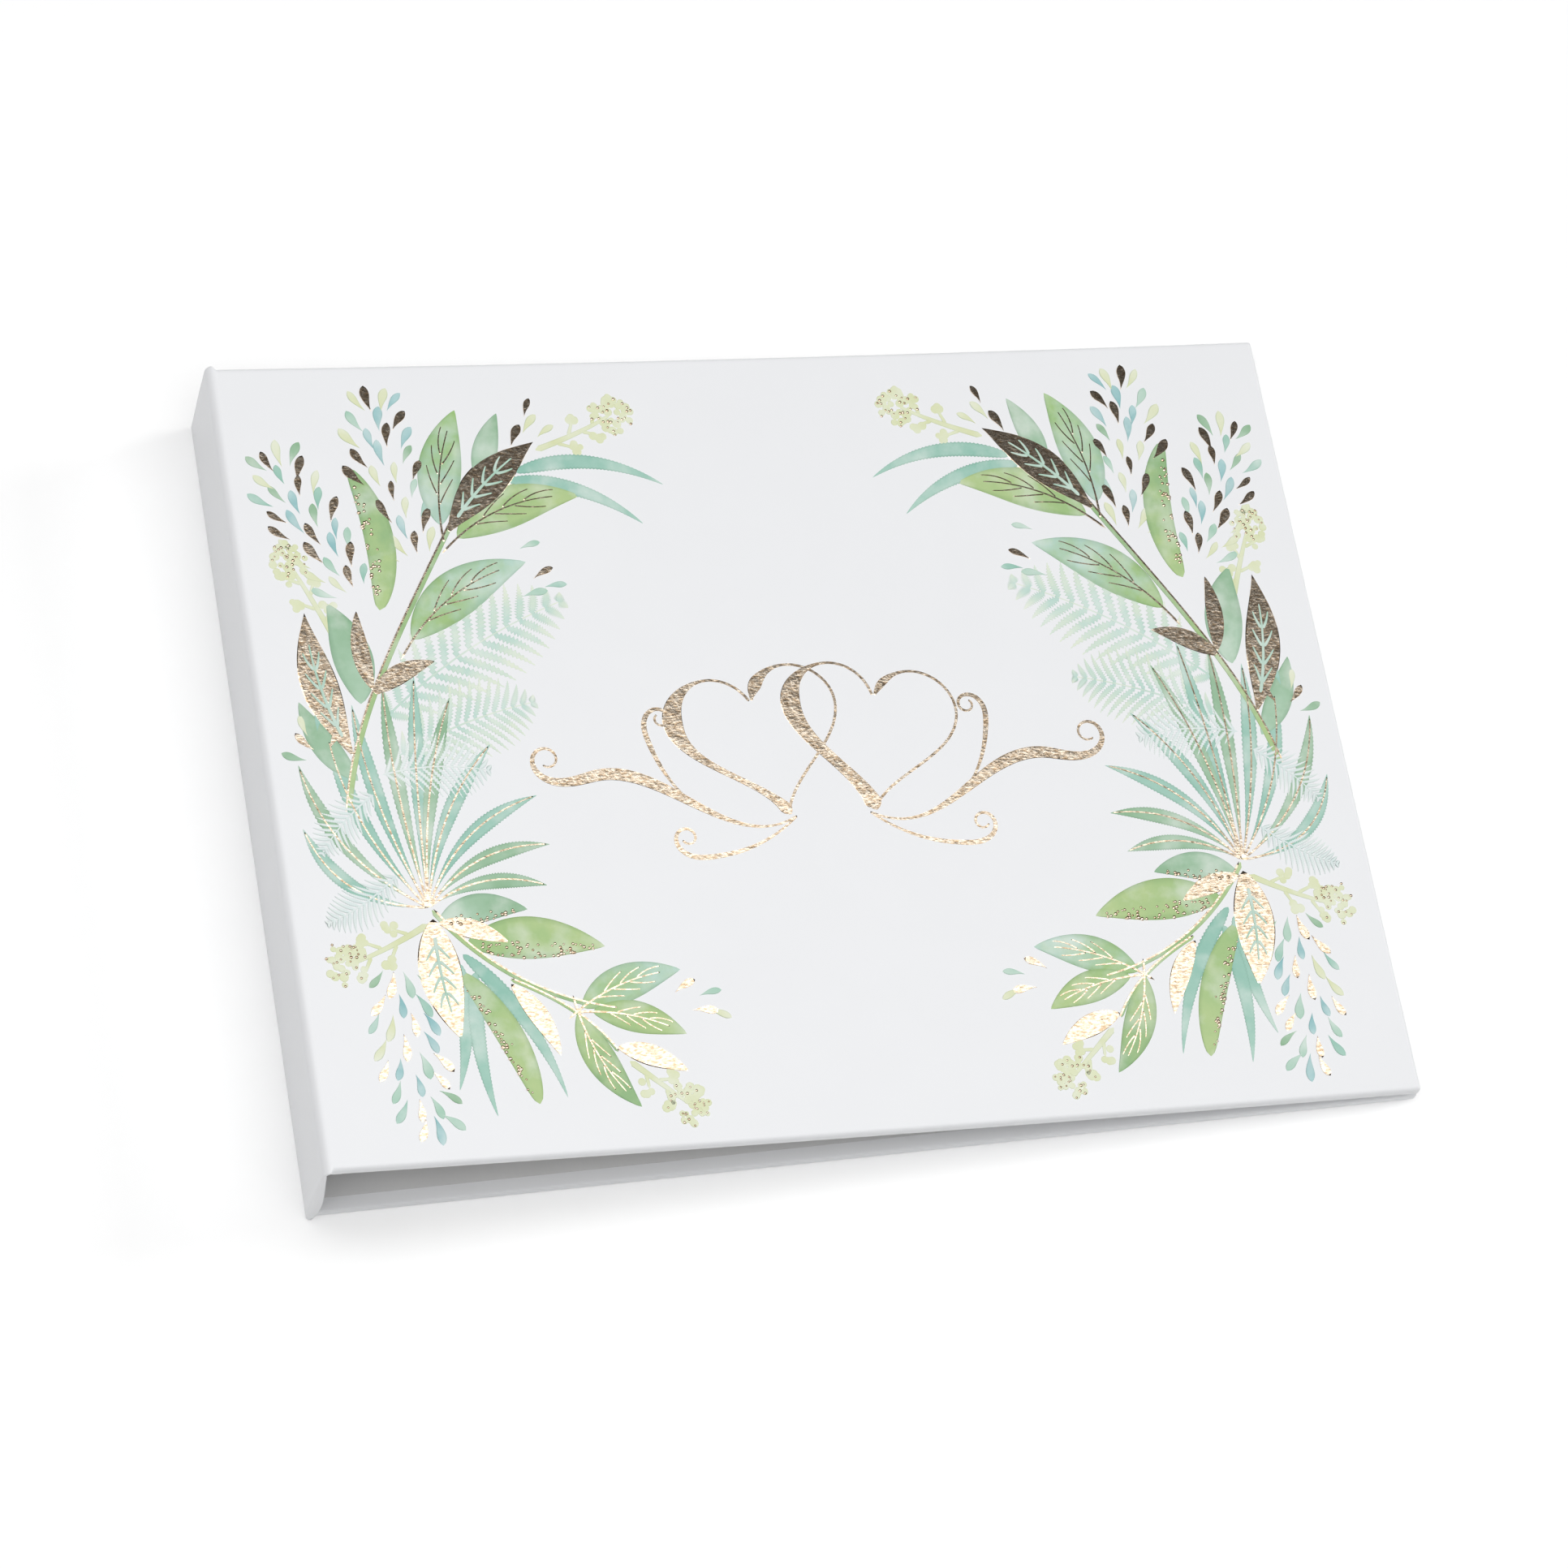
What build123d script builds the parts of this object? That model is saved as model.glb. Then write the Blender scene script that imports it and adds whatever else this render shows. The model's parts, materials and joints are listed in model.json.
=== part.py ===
from build123d import *
import os
from math import cos, degrees, hypot, radians, sin, sqrt
from typing import NamedTuple

# Guest book: a paper-wrapped case of three boards, a ring mechanism riveted to the back
# board, and loose leaves on the rings. All sizes in mm, +Z up, back cover on Z = 0,
# spine at -X, head at +Y, origin under the middle of the closed book.

# Case
cover_width = 236.3
cover_height = 178.0
spine_height = 28.0
spine_lean = 1.0
front_slope = 5.3
front_bow = 1.35
wrap_thickness = 0.20
board_thickness = 2.15
liner_thickness = 0.15
turn_in_width = 15.0
liner_margin = 3.0
edge_radius = 1.1
spine_overhang = 0.6
spine_end_gap = 1.0
cover_start = 3.3
crease_reach = 3.0
crease_radius = 0.8
crease_thickness = wrap_thickness + liner_thickness

# Ring mechanism, measured from the outer face of the spine and from mid height
ring_x = 16.0
ring_z = 12.0
ring_radius = 7.2
wire_radius = 1.1
ring_spacing = 50.0
ring_end_angle = 160.0
ring_tip_gap = 0.3
plate_width = 18.0
plate_length = 130.0
plate_height = 4.7
plate_shoulder_width = 2.4
plate_shoulder_drop = 1.8
plate_sheet = 0.7
lip_width = 1.5
lip_height = 0.7
lip_drop = 0.6
slot_start = 1.0
slot_end = 8.2
slot_width = 3.4
pivot_spread = 7.2
pivot_height = 5.3
blade_sheet = 0.6
blade_droop = 4.25
blade_gap = 0.3
blade_end_gap = 0.4
rivet_place = 58.0
rivet_radius = 2.2
rivet_head_radius = 3.2
rivet_flange_radius = 4.5
rivet_flange_thickness = 0.6
rivet_clearance = 0.8

# Thumb lever at each end of the ring mechanism
lever_place = 67.1
lever_height = 4.9
lever_barrel_radius = 1.5
lever_pin_radius = 1.2
lever_pin_clearance = 0.05
lever_pin_overhang = 0.3
lever_side_gap = 0.3
lever_tab_length = 10.4
lever_tab_rise = 0.8
lever_tab_top = 1.8
lever_tab_sheet = 1.0
lever_tab_width = 14.0
lever_tab_corner = 4.0
lever_tongue_length = 4.0
lever_tongue_width = 6.0
lever_tongue_sheet = 0.7
ear_radius = 2.2

# Leaves
leaf_count = 8
leaf_width = 204.0
leaf_height = 158.0
leaf_thickness = 0.15
leaf_pitch = 0.18
leaf_tilt = 1.34
leaf_drop = 4.2
hole_radius = 3.3
hole_margin = 6.3
leaf_corner = 3.0

# Depths below a panel's outer face: the board's inner face, the turn-ins', the liner's
board_depth = wrap_thickness + board_thickness
paste_depth = board_depth + wrap_thickness
cover_thickness = paste_depth + liner_thickness
cover_reach = spine_lean + cover_width * cos(radians(front_slope))
spine_x = -cover_reach / 2
spine_length = hypot(spine_lean, spine_height)

# Planes whose local X runs along a panel from its crease and whose local Y points outward
along_y = (0, -1, 0)
front_plane = Plane(
    origin=(spine_x + spine_lean, 0, spine_height),
    x_dir=(cos(radians(front_slope)), 0, -sin(radians(front_slope))),
    z_dir=along_y,
)
back_plane = Plane(origin=(spine_x, 0, 0), x_dir=(1, 0, 0), z_dir=(0, 1, 0))
spine_plane = Plane(
    origin=(spine_x, 0, 0), x_dir=(spine_lean, 0, spine_height), z_dir=along_y
)
# Cross-section plane of the mechanism: local X from the spine, local Y up
section = Plane(origin=(spine_x, 0, 0), x_dir=(1, 0, 0), z_dir=along_y)
# Plane across the leaves through the middle of the rings, for the mirrored half
ring_middle = Plane.YZ.offset(spine_x + ring_x)


class Panel(NamedTuple):
    """One stiff panel of the case: where it starts and ends along its plane, and its bow."""

    plane: Plane
    start: float
    end: float
    height: float
    bow: float
    closed_end: bool


front = Panel(front_plane, cover_start, cover_width, cover_height, front_bow, True)
back = Panel(back_plane, cover_start, cover_width, cover_height, 0.0, True)
spine = Panel(
    spine_plane,
    spine_end_gap,
    spine_length - spine_end_gap,
    cover_height + 2 * spine_overhang,
    0.0,
    False,
)


def layer_point(panel, along, depth):
    """Point of a panel's section at a distance from the crease and a depth from outside."""
    if panel.bow == 0:
        return (along, -depth)
    half = cover_width / 2
    bow_radius = (half**2 + panel.bow**2) / (2 * panel.bow)
    turn = (along - half) / bow_radius
    reach = bow_radius + depth
    return (half + reach * sin(turn), bow_radius - panel.bow - reach * cos(turn))


def layer_face(panel, start, end, outer, inner):
    """Section of a panel between two depths, straight or bowed."""
    middle = (start + end) / 2
    with BuildSketch() as layer:
        with BuildLine():
            if panel.bow == 0:
                Line(layer_point(panel, start, outer), layer_point(panel, end, outer))
                Line(layer_point(panel, start, inner), layer_point(panel, end, inner))
            else:
                for depth in (outer, inner):
                    places = (start, middle, end)
                    ThreePointArc(*[layer_point(panel, s, depth) for s in places])
            Line(layer_point(panel, start, outer), layer_point(panel, start, inner))
            Line(layer_point(panel, end, outer), layer_point(panel, end, inner))
        make_face()
    return layer.sketch


def outer_edges(block, panel):
    """Edges of a panel's outer face that aren't along a crease."""

    def is_outer(edge):
        ends = [panel.plane.to_local_coords(edge @ place) for place in (0, 1)]
        reach = max(end.X for end in ends)
        length = abs(ends[0].X - ends[1].X)
        near_outside = all(end.Y > -board_thickness / 2 for end in ends)
        far_edge = panel.closed_end and reach > panel.end - edge_radius
        return near_outside and (length > edge_radius or far_edge)

    return block.edges().filter_by(is_outer)


def make_board(panel):
    """Greyboard stiffener, one wrap thickness inside the covered panel."""
    end = panel.end - wrap_thickness if panel.closed_end else panel.end
    with BuildPart() as board:
        with BuildSketch(panel.plane):
            add(layer_face(panel, panel.start, end, wrap_thickness, board_depth))
        extrude(amount=panel.height / 2 - wrap_thickness, both=True)
        fillet(outer_edges(board, panel), edge_radius - wrap_thickness)
    return board


def make_liner(panel):
    """Paper liner pasted over the board and over the edges of the turned-in wrap."""
    margin_end = panel.end - liner_margin if panel.closed_end else panel.end
    inner_end = panel.end - turn_in_width if panel.closed_end else panel.end
    with BuildPart() as liner:
        with BuildSketch(panel.plane):
            add(layer_face(panel, panel.start, margin_end, paste_depth, cover_thickness))
        extrude(amount=panel.height / 2 - liner_margin, both=True)
        with BuildSketch(panel.plane):
            add(layer_face(panel, panel.start, inner_end, board_depth, paste_depth))
        extrude(amount=panel.height / 2 - turn_in_width, both=True)
    return liner


def make_wrap(panel, board, liner):
    """Covering paper: outer face, folded edges and turn-ins, around the board."""
    with BuildPart() as wrap:
        with BuildSketch(panel.plane):
            add(layer_face(panel, panel.start, panel.end, 0, paste_depth))
        extrude(amount=panel.height / 2, both=True)
        fillet(outer_edges(wrap, panel), edge_radius)
        add(board.part, mode=Mode.SUBTRACT)
        add(liner.part, mode=Mode.SUBTRACT)
    return wrap


def make_crease(corner, spine_direction, cover_direction, inside):
    """Folded strip of wrap and liner round one long edge of the spine."""
    with BuildPart() as crease:
        with BuildSketch(section):
            with BuildLine():
                FilletPolyline(
                    corner + spine_direction * spine_end_gap,
                    corner,
                    corner + cover_direction * crease_reach,
                    radius=crease_radius,
                )
                offset(amount=crease_thickness, side=inside)
            make_face()
        extrude(amount=cover_height / 2 + spine_overhang, both=True)
    return crease


def section_direction(plane):
    """Direction along a panel, as a vector of the cross-section plane."""
    return Vector(plane.x_dir.X, plane.x_dir.Z)


# Rivets come first, because the back board and liner are drilled for them
rivet_spots = [(spine_x + ring_x, side * rivet_place) for side in (-1, 1)]
plate_top = cover_thickness + plate_height
rivet_neck = plate_top - plate_sheet

with BuildPart() as mounting_rivets:
    with BuildSketch(Plane.XY.offset(wrap_thickness)):
        with Locations(*rivet_spots):
            Circle(rivet_flange_radius)
    extrude(amount=rivet_flange_thickness)
    with BuildSketch(Plane.XY.offset(wrap_thickness)):
        with Locations(*rivet_spots):
            Circle(rivet_radius)
    extrude(amount=plate_top - wrap_thickness)
    for spot in rivet_spots:
        with BuildSketch(Plane((*spot, rivet_neck))):
            Circle(rivet_radius)
        with BuildSketch(Plane((*spot, plate_top))):
            Circle(rivet_head_radius)
        loft()

# Case
front_board = make_board(front)
front_liner = make_liner(front)
front_wrap = make_wrap(front, front_board, front_liner)

spine_board = make_board(spine)
spine_liner = make_liner(spine)
spine_wrap = make_wrap(spine, spine_board, spine_liner)

plain_back_board = make_board(back)
plain_back_liner = make_liner(back)
back_wrap = make_wrap(back, plain_back_board, plain_back_liner)

with BuildPart() as back_board:
    add(plain_back_board.part)
    add(mounting_rivets.part, mode=Mode.SUBTRACT)

with BuildPart() as back_liner:
    add(plain_back_liner.part)
    add(mounting_rivets.part, mode=Mode.SUBTRACT)

spine_up = section_direction(spine_plane)
top_corner = Vector(spine_lean, spine_height)
over_cover = section_direction(front_plane)
under_cover = section_direction(back_plane)
front_crease = make_crease(top_corner, -spine_up, over_cover, Side.RIGHT)
back_crease = make_crease(Vector(0, 0), spine_up, under_cover, Side.LEFT)

# Ring mechanism: arched plate, two hinged blades carrying half rings, two thumb levers
half_width = plate_width / 2
plate_left = ring_x - half_width
plate_right = ring_x + half_width
shoulder_z = plate_top - plate_shoulder_drop
ring_places = [(0, place) for place in (-ring_spacing, 0, ring_spacing)]

with BuildPart() as ring_plate:
    with BuildSketch(section):
        with BuildLine():
            Polyline(
                (plate_left, cover_thickness),
                (plate_left, shoulder_z),
                (plate_left + plate_shoulder_width, plate_top),
                (plate_right - plate_shoulder_width, plate_top),
                (plate_right, shoulder_z),
                (plate_right, cover_thickness),
                close=True,
            )
        arch = make_face()
        offset(arch, amount=-plate_sheet, mode=Mode.SUBTRACT)
        with Locations((ring_x, cover_thickness)):
            Rectangle(plate_width - 2 * plate_sheet, 2 * plate_sheet, mode=Mode.SUBTRACT)
        with Locations(
            (plate_left + plate_sheet + lip_width / 2, pivot_height - lip_drop),
            (plate_right - plate_sheet - lip_width / 2, pivot_height - lip_drop),
        ):
            Rectangle(lip_width, lip_height, align=(Align.CENTER, Align.MAX))
    extrude(amount=plate_length / 2, both=True)
    with BuildSketch(Plane.XY.offset(pivot_height)):
        for side in (-1, 1):
            middle = spine_x + ring_x + side * (slot_start + slot_end) / 2
            with Locations(*[(middle, place) for _, place in ring_places]):
                Rectangle(slot_end - slot_start, slot_width)
    extrude(amount=plate_height, mode=Mode.SUBTRACT)
    add(mounting_rivets.part, mode=Mode.SUBTRACT)
    for wall in (plate_left, plate_right - plate_sheet):
        with BuildSketch(Plane.YZ.offset(spine_x + wall)):
            with Locations((0, lever_height)):
                Rectangle(2 * lever_place, 2 * ear_radius)
            with Locations(*[(side * lever_place, lever_height) for side in (-1, 1)]):
                Circle(ear_radius)
            Rectangle(plate_length, 4 * plate_height, mode=Mode.SUBTRACT)
        extrude(amount=plate_sheet)
    with BuildSketch(Plane.YZ.offset(spine_x)):
        with Locations(*[(side * lever_place, lever_height) for side in (-1, 1)]):
            Circle(lever_pin_radius + lever_pin_clearance)
    extrude(amount=2 * ring_x, mode=Mode.SUBTRACT)

# Half rings: wire bent from the tip over the middle of the plate down into a blade
tip_angle = 90 - degrees(ring_tip_gap / (2 * ring_radius))
right_rings = {}
left_rings = {}
for word, place in (("tail", -ring_spacing), ("middle", 0), ("head", ring_spacing)):
    with BuildPart() as right_ring:
        with BuildLine(section.offset(-place)) as wire:
            CenterArc((ring_x, ring_z), ring_radius, tip_angle, -ring_end_angle)
        with BuildSketch(wire.line ^ 0):
            Circle(wire_radius)
        sweep()
    with BuildPart() as left_ring:
        mirror(right_ring.part, about=ring_middle)
    right_rings[f"{word}_ring_right"] = right_ring
    left_rings[f"{word}_ring_left"] = left_ring

blade_direction = Vector(-cos(radians(blade_droop)), -sin(radians(blade_droop)))
pivot = Vector(ring_x + pivot_spread, pivot_height)
blade_plane = Plane(
    origin=section.from_local_coords(pivot),
    x_dir=(blade_direction.X, 0, blade_direction.Y),
    z_dir=along_y,
)
blade_reach = (pivot_spread - blade_gap / 2) / cos(radians(blade_droop))

with BuildPart() as right_carrier:
    with BuildSketch(blade_plane):
        Circle(blade_sheet / 2)
        Rectangle(blade_reach, blade_sheet, align=(Align.MIN, Align.CENTER))
    extrude(amount=plate_length / 2 - blade_end_gap, both=True)
    with BuildSketch(Plane.XY):
        with Locations(*rivet_spots):
            Circle(rivet_radius + rivet_clearance)
    extrude(amount=plate_top, mode=Mode.SUBTRACT)
    for ring in right_rings.values():
        add(ring.part, mode=Mode.SUBTRACT)

with BuildPart() as left_carrier:
    mirror(right_carrier.part, about=ring_middle)

with BuildPart() as tail_lever:
    barrel = plate_width / 2 - plate_sheet - lever_side_gap
    pin = plate_width / 2 + lever_pin_overhang
    with BuildSketch(ring_middle):
        with Locations((-lever_place, lever_height)):
            Circle(lever_barrel_radius)
    extrude(amount=barrel, both=True)
    with BuildSketch(ring_middle):
        with Locations((-lever_place, lever_height)):
            Circle(lever_pin_radius)
    extrude(amount=pin, both=True)
    with BuildSketch(ring_middle):
        with BuildLine():
            Polyline(
                (-lever_place, lever_height - lever_tab_sheet / 2),
                (-lever_place, lever_height + lever_barrel_radius),
                (-lever_place - lever_tab_length, lever_height + lever_tab_top),
                (-lever_place - lever_tab_length, lever_height + lever_tab_rise),
                close=True,
            )
        make_face()
    tab = extrude(amount=lever_tab_width / 2, both=True)
    fillet(
        tab.edges().filter_by(Axis.Z).group_by(Axis.Y)[0],
        lever_tab_corner,
    )
    with BuildSketch(ring_middle):
        with Locations((-lever_place, lever_height - lever_barrel_radius)):
            Rectangle(
                lever_tongue_length, lever_tongue_sheet, align=(Align.MIN, Align.MIN)
            )
    extrude(amount=lever_tongue_width / 2, both=True)

with BuildPart() as head_lever:
    mirror(tail_lever.part, about=Plane.XZ)

# Leaves, numbered from the front cover, each hung where its plane crosses the rings
leaves = {}
for number in range(leaf_count):
    drop = leaf_drop - leaf_pitch * (leaf_count - 1 - number)
    hole_reach = sqrt(ring_radius**2 - drop**2)
    leaf_plane = Plane(
        origin=(spine_x + ring_x, 0, ring_z),
        x_dir=(cos(radians(leaf_tilt)), 0, -sin(radians(leaf_tilt))),
        z_dir=(sin(radians(leaf_tilt)), 0, cos(radians(leaf_tilt))),
    )
    with BuildPart() as leaf:
        with BuildSketch(leaf_plane.offset(-drop - leaf_thickness / 2)):
            with Locations((hole_reach - hole_margin, 0)):
                sheet = Rectangle(leaf_width, leaf_height, align=(Align.MIN, Align.CENTER))
            fillet(sheet.vertices(), leaf_corner)
            with Locations(*[(hole_reach, place) for _, place in ring_places]):
                Circle(hole_radius, mode=Mode.SUBTRACT)
        extrude(amount=leaf_thickness)
    leaves["title_leaf" if number == 0 else f"guest_leaf_{number}"] = leaf

pieces = {
    "front_board": front_board,
    "front_liner": front_liner,
    "front_wrap": front_wrap,
    "spine_board": spine_board,
    "spine_liner": spine_liner,
    "spine_wrap": spine_wrap,
    "back_board": back_board,
    "back_liner": back_liner,
    "back_wrap": back_wrap,
    "front_crease": front_crease,
    "back_crease": back_crease,
    "mounting_rivets": mounting_rivets,
    "ring_plate": ring_plate,
    "right_carrier": right_carrier,
    "left_carrier": left_carrier,
    "tail_lever": tail_lever,
    "head_lever": head_lever,
    **right_rings,
    **left_rings,
    **leaves,
}
os.makedirs("parts", exist_ok=True)
for name, piece in pieces.items():
    piece.part.label = name
    export_step(piece.part, f"parts/{name}.step")
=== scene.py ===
"""Wedding guest book: folded paper case, printed and foiled cover, ring mechanism and leaves."""
import json
import logging
from dataclasses import dataclass, field, replace
from enum import Enum

import bpy
import numpy as np
from mathutils import Matrix, Vector


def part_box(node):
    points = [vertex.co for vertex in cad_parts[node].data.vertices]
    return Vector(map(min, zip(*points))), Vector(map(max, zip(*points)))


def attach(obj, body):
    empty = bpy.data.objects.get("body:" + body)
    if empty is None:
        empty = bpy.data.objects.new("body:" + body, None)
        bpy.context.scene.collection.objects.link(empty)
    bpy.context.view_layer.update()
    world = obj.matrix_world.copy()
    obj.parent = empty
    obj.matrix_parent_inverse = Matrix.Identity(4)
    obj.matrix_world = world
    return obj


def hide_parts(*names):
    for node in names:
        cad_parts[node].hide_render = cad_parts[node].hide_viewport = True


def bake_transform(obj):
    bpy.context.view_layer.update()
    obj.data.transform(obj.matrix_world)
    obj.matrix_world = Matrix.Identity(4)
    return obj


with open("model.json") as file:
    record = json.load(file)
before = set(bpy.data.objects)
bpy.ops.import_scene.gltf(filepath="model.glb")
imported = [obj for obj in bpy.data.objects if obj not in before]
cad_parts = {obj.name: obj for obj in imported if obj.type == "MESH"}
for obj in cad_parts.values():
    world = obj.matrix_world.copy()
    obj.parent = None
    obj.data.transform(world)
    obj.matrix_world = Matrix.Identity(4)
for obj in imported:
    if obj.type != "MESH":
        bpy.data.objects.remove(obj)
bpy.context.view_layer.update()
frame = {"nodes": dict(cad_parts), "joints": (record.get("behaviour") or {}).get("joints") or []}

log = logging.getLogger("guest_book")
MM = 0.001
JOINTS = {joint["name"]: joint for joint in frame["joints"]}
WASH_ATTRIBUTES = ("wash_base", "wash_tip")
WASH_UV = "along_across"


# ---------------------------------------------------------------- finishes

def colour(code: str) -> tuple[float, float, float, float]:
    """Turn an sRGB hex colour into linear RGBA.

    Args:
        code: six hex digits, such as "c9a27a".

    Returns:
        Linear red, green, blue and an alpha of one.
    """
    parts = np.array([int(code[place:place + 2], 16) for place in (0, 2, 4)]) / 255
    linear = np.where(parts <= 0.04045, parts / 12.92, ((parts + 0.055) / 1.055) ** 2.4)
    return (*linear.tolist(), 1.0)


def set_inputs(tree: bpy.types.NodeTree, node: bpy.types.Node, inputs: dict) -> None:
    """Set a node's inputs, by name or number, to values, or link them to sockets or nodes.

    A node given as an input is linked from its first enabled output.

    Args:
        tree: the node's tree.
        node: the node whose inputs are set.
        inputs: input name or number to a value, a socket or a node.
    """
    for name, value in inputs.items():
        if isinstance(value, bpy.types.Node):
            value = next(socket for socket in value.outputs if socket.enabled)
        if isinstance(value, bpy.types.NodeSocket):
            tree.links.new(value, node.inputs[name])
        else:
            node.inputs[name].default_value = value


def add_node(
    tree: bpy.types.NodeTree, kind: str, inputs: dict | None = None, stops: tuple = (), **settings
) -> bpy.types.Node:
    """Add a shader node with its settings, and set or link its inputs.

    Args:
        tree: the node tree that the node joins.
        kind: Blender's node type name, without "ShaderNode" in front.
        inputs: input name or number to a value, a socket or a node.
        stops: a colour ramp's two stops, each a place and a hex colour.
        settings: properties of the node itself.

    Returns:
        The new node.
    """
    node = tree.nodes.new(f"ShaderNode{kind}")
    for name, value in settings.items():
        setattr(node, name, value)
    for number, (place, code) in enumerate(stops):
        element = node.color_ramp.elements[number]
        element.position, element.color = place, colour(code)
    set_inputs(tree, node, inputs or {})
    return node


def place_noise(
    tree: bpy.types.NodeTree, grain: float, detail: float = 3.0, stretch: tuple = (1, 1, 1)
) -> bpy.types.NodeSocket:
    """A soft random pattern on Object coordinates, in patches about one grain size wide.

    Args:
        tree: the node tree.
        grain: patch size in metres.
        detail: octaves of finer noise.
        stretch: how much longer the patches are along X, Y and Z.

    Returns:
        The pattern's value socket.
    """
    place = add_node(tree, "TexCoord").outputs["Object"]
    scale = tuple(1 / (grain * part) for part in stretch)
    mapping = add_node(tree, "Mapping", {"Vector": place, "Scale": scale})
    inputs = {"Vector": mapping, "Scale": 1.0, "Detail": detail}
    return add_node(tree, "TexNoise", inputs).outputs["Fac"]


def new_material(name: str) -> tuple[bpy.types.Material, bpy.types.NodeTree, bpy.types.Node]:
    """Make an empty node material and return it with its tree and its Principled shader.

    Args:
        name: the material's name.

    Returns:
        The material, its node tree and its shader node.
    """
    material = bpy.data.materials.new(name)
    material.use_nodes = True
    tree = material.node_tree
    return material, tree, tree.nodes["Principled BSDF"]


@dataclass(frozen=True)
class Paper:
    """A white or tinted paper: long soft fibres, faint mottling, and a fine tooth.

    Laminated covering paper is smoother and a little glossy. Uncoated paper is dull and its
    fibres show.
    """

    name: str
    light: str
    shade: str
    roughness: float
    fibre: float
    tooth: float
    specular: float = 0.5

    def make(self) -> bpy.types.Material:
        """Build the paper's material."""
        material, tree, shader = new_material(self.name)
        patches = place_noise(tree, 14 * MM, 4.0)
        fibres = place_noise(tree, self.fibre, 4.0, (1, 6, 1))
        mottle, threads = (
            add_node(tree, "ValToRGB", {0: value}, ((low, self.shade), (high, self.light)))
            for value, low, high in ((patches, 0.35, 0.65), (fibres, 0.3, 0.7))
        )
        tone = add_node(tree, "Mix", {0: 0.25, 6: mottle, 7: threads}, data_type="RGBA")
        normal = add_node(tree, "Bump", {"Height": fibres, "Distance": self.tooth})
        normal = add_node(tree, "Bump", {
            "Height": place_noise(tree, self.fibre / 3, 2.0), "Distance": self.tooth / 2,
            "Normal": normal,
        })
        set_inputs(tree, shader, {
            "Base Color": tone, "Roughness": self.roughness, "Normal": normal,
            "Specular IOR Level": self.specular,
        })
        return material


@dataclass(frozen=True)
class RuledPaper:
    """Smooth ivory leaf paper with hairline writing lines printed in soft grey-green."""

    name: str
    light: str
    shade: str
    line: str
    pitch: float
    line_width: float
    low: float
    high: float
    left: float
    right: float

    def make(self) -> bpy.types.Material:
        """Build the paper with its lines.

        A line shows where the distance across the page, divided by the pitch, has a
        fraction under the line's share of the pitch, inside the writing area.
        """
        material, tree, shader = new_material(self.name)
        fibres = place_noise(tree, 0.5 * MM, 4.0, (1, 5, 1))
        tone = add_node(tree, "ValToRGB", {0: fibres}, ((0.3, self.shade), (0.7, self.light)))
        place = add_node(tree, "TexCoord").outputs["Object"]
        axes = add_node(tree, "SeparateXYZ", {0: place}).outputs
        pitches = add_node(tree, "Math", {0: axes["Y"], 1: self.pitch}, operation="DIVIDE")
        part = add_node(tree, "Math", {0: pitches}, operation="FRACT")
        share = self.line_width / self.pitch
        on_line = add_node(tree, "Math", {0: part, 1: share}, operation="LESS_THAN")
        for axis, limit, test in (
            ("Y", self.low, "GREATER_THAN"), ("Y", self.high, "LESS_THAN"),
            ("X", self.left, "GREATER_THAN"), ("X", self.right, "LESS_THAN"),
        ):
            inside = add_node(tree, "Math", {0: axes[axis], 1: limit}, operation=test)
            on_line = add_node(tree, "Math", {0: on_line, 1: inside}, operation="MULTIPLY")
        inputs = {0: on_line, 6: tone, 7: colour(self.line)}
        set_inputs(tree, shader, {
            "Base Color": add_node(tree, "Mix", inputs, data_type="RGBA"), "Roughness": 0.72,
            "Normal": add_node(tree, "Bump", {"Height": fibres, "Distance": 0.01 * MM}),
        })
        return material


@dataclass(frozen=True)
class Greyboard:
    """Dull grey bookbinder's board, pressed from recycled fibre, with pale and dark flecks."""

    name: str = "greyboard"
    light: str = "a49c8f"
    shade: str = "766f64"

    def make(self) -> bpy.types.Material:
        """Build the board's material."""
        material, tree, shader = new_material(self.name)
        flecks = place_noise(tree, 0.8 * MM, 5.0, (1, 3, 1))
        stops = ((0.35, self.shade), (0.62, self.light))
        set_inputs(tree, shader, {
            "Base Color": add_node(tree, "ValToRGB", {0: flecks}, stops), "Roughness": 0.9,
            "Normal": add_node(tree, "Bump", {"Height": flecks, "Distance": 0.05 * MM}),
        })
        return material


@dataclass(frozen=True)
class Metal:
    """Plated or rolled steel: a bright metal with fine drawn scratches along one direction."""

    name: str
    light: str
    shade: str
    roughness: float
    scratch: float
    depth: float
    grain_direction: tuple[float, float, float] = (1, 20, 1)

    def make(self) -> bpy.types.Material:
        """Build the metal's material."""
        material, tree, shader = new_material(self.name)
        scratches = place_noise(tree, self.scratch, 3.0, self.grain_direction)
        smudges = place_noise(tree, 6 * MM, 3.0)
        rough = add_node(tree, "MapRange", {
            "Value": smudges, "To Min": self.roughness * 0.7, "To Max": self.roughness * 1.4,
        })
        stops = ((0.3, self.shade), (0.7, self.light))
        set_inputs(tree, shader, {
            "Base Color": add_node(tree, "ValToRGB", {0: smudges}, stops),
            "Metallic": 1.0, "Roughness": rough,
            "Normal": add_node(tree, "Bump", {"Height": scratches, "Distance": self.depth}),
        })
        return material


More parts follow.
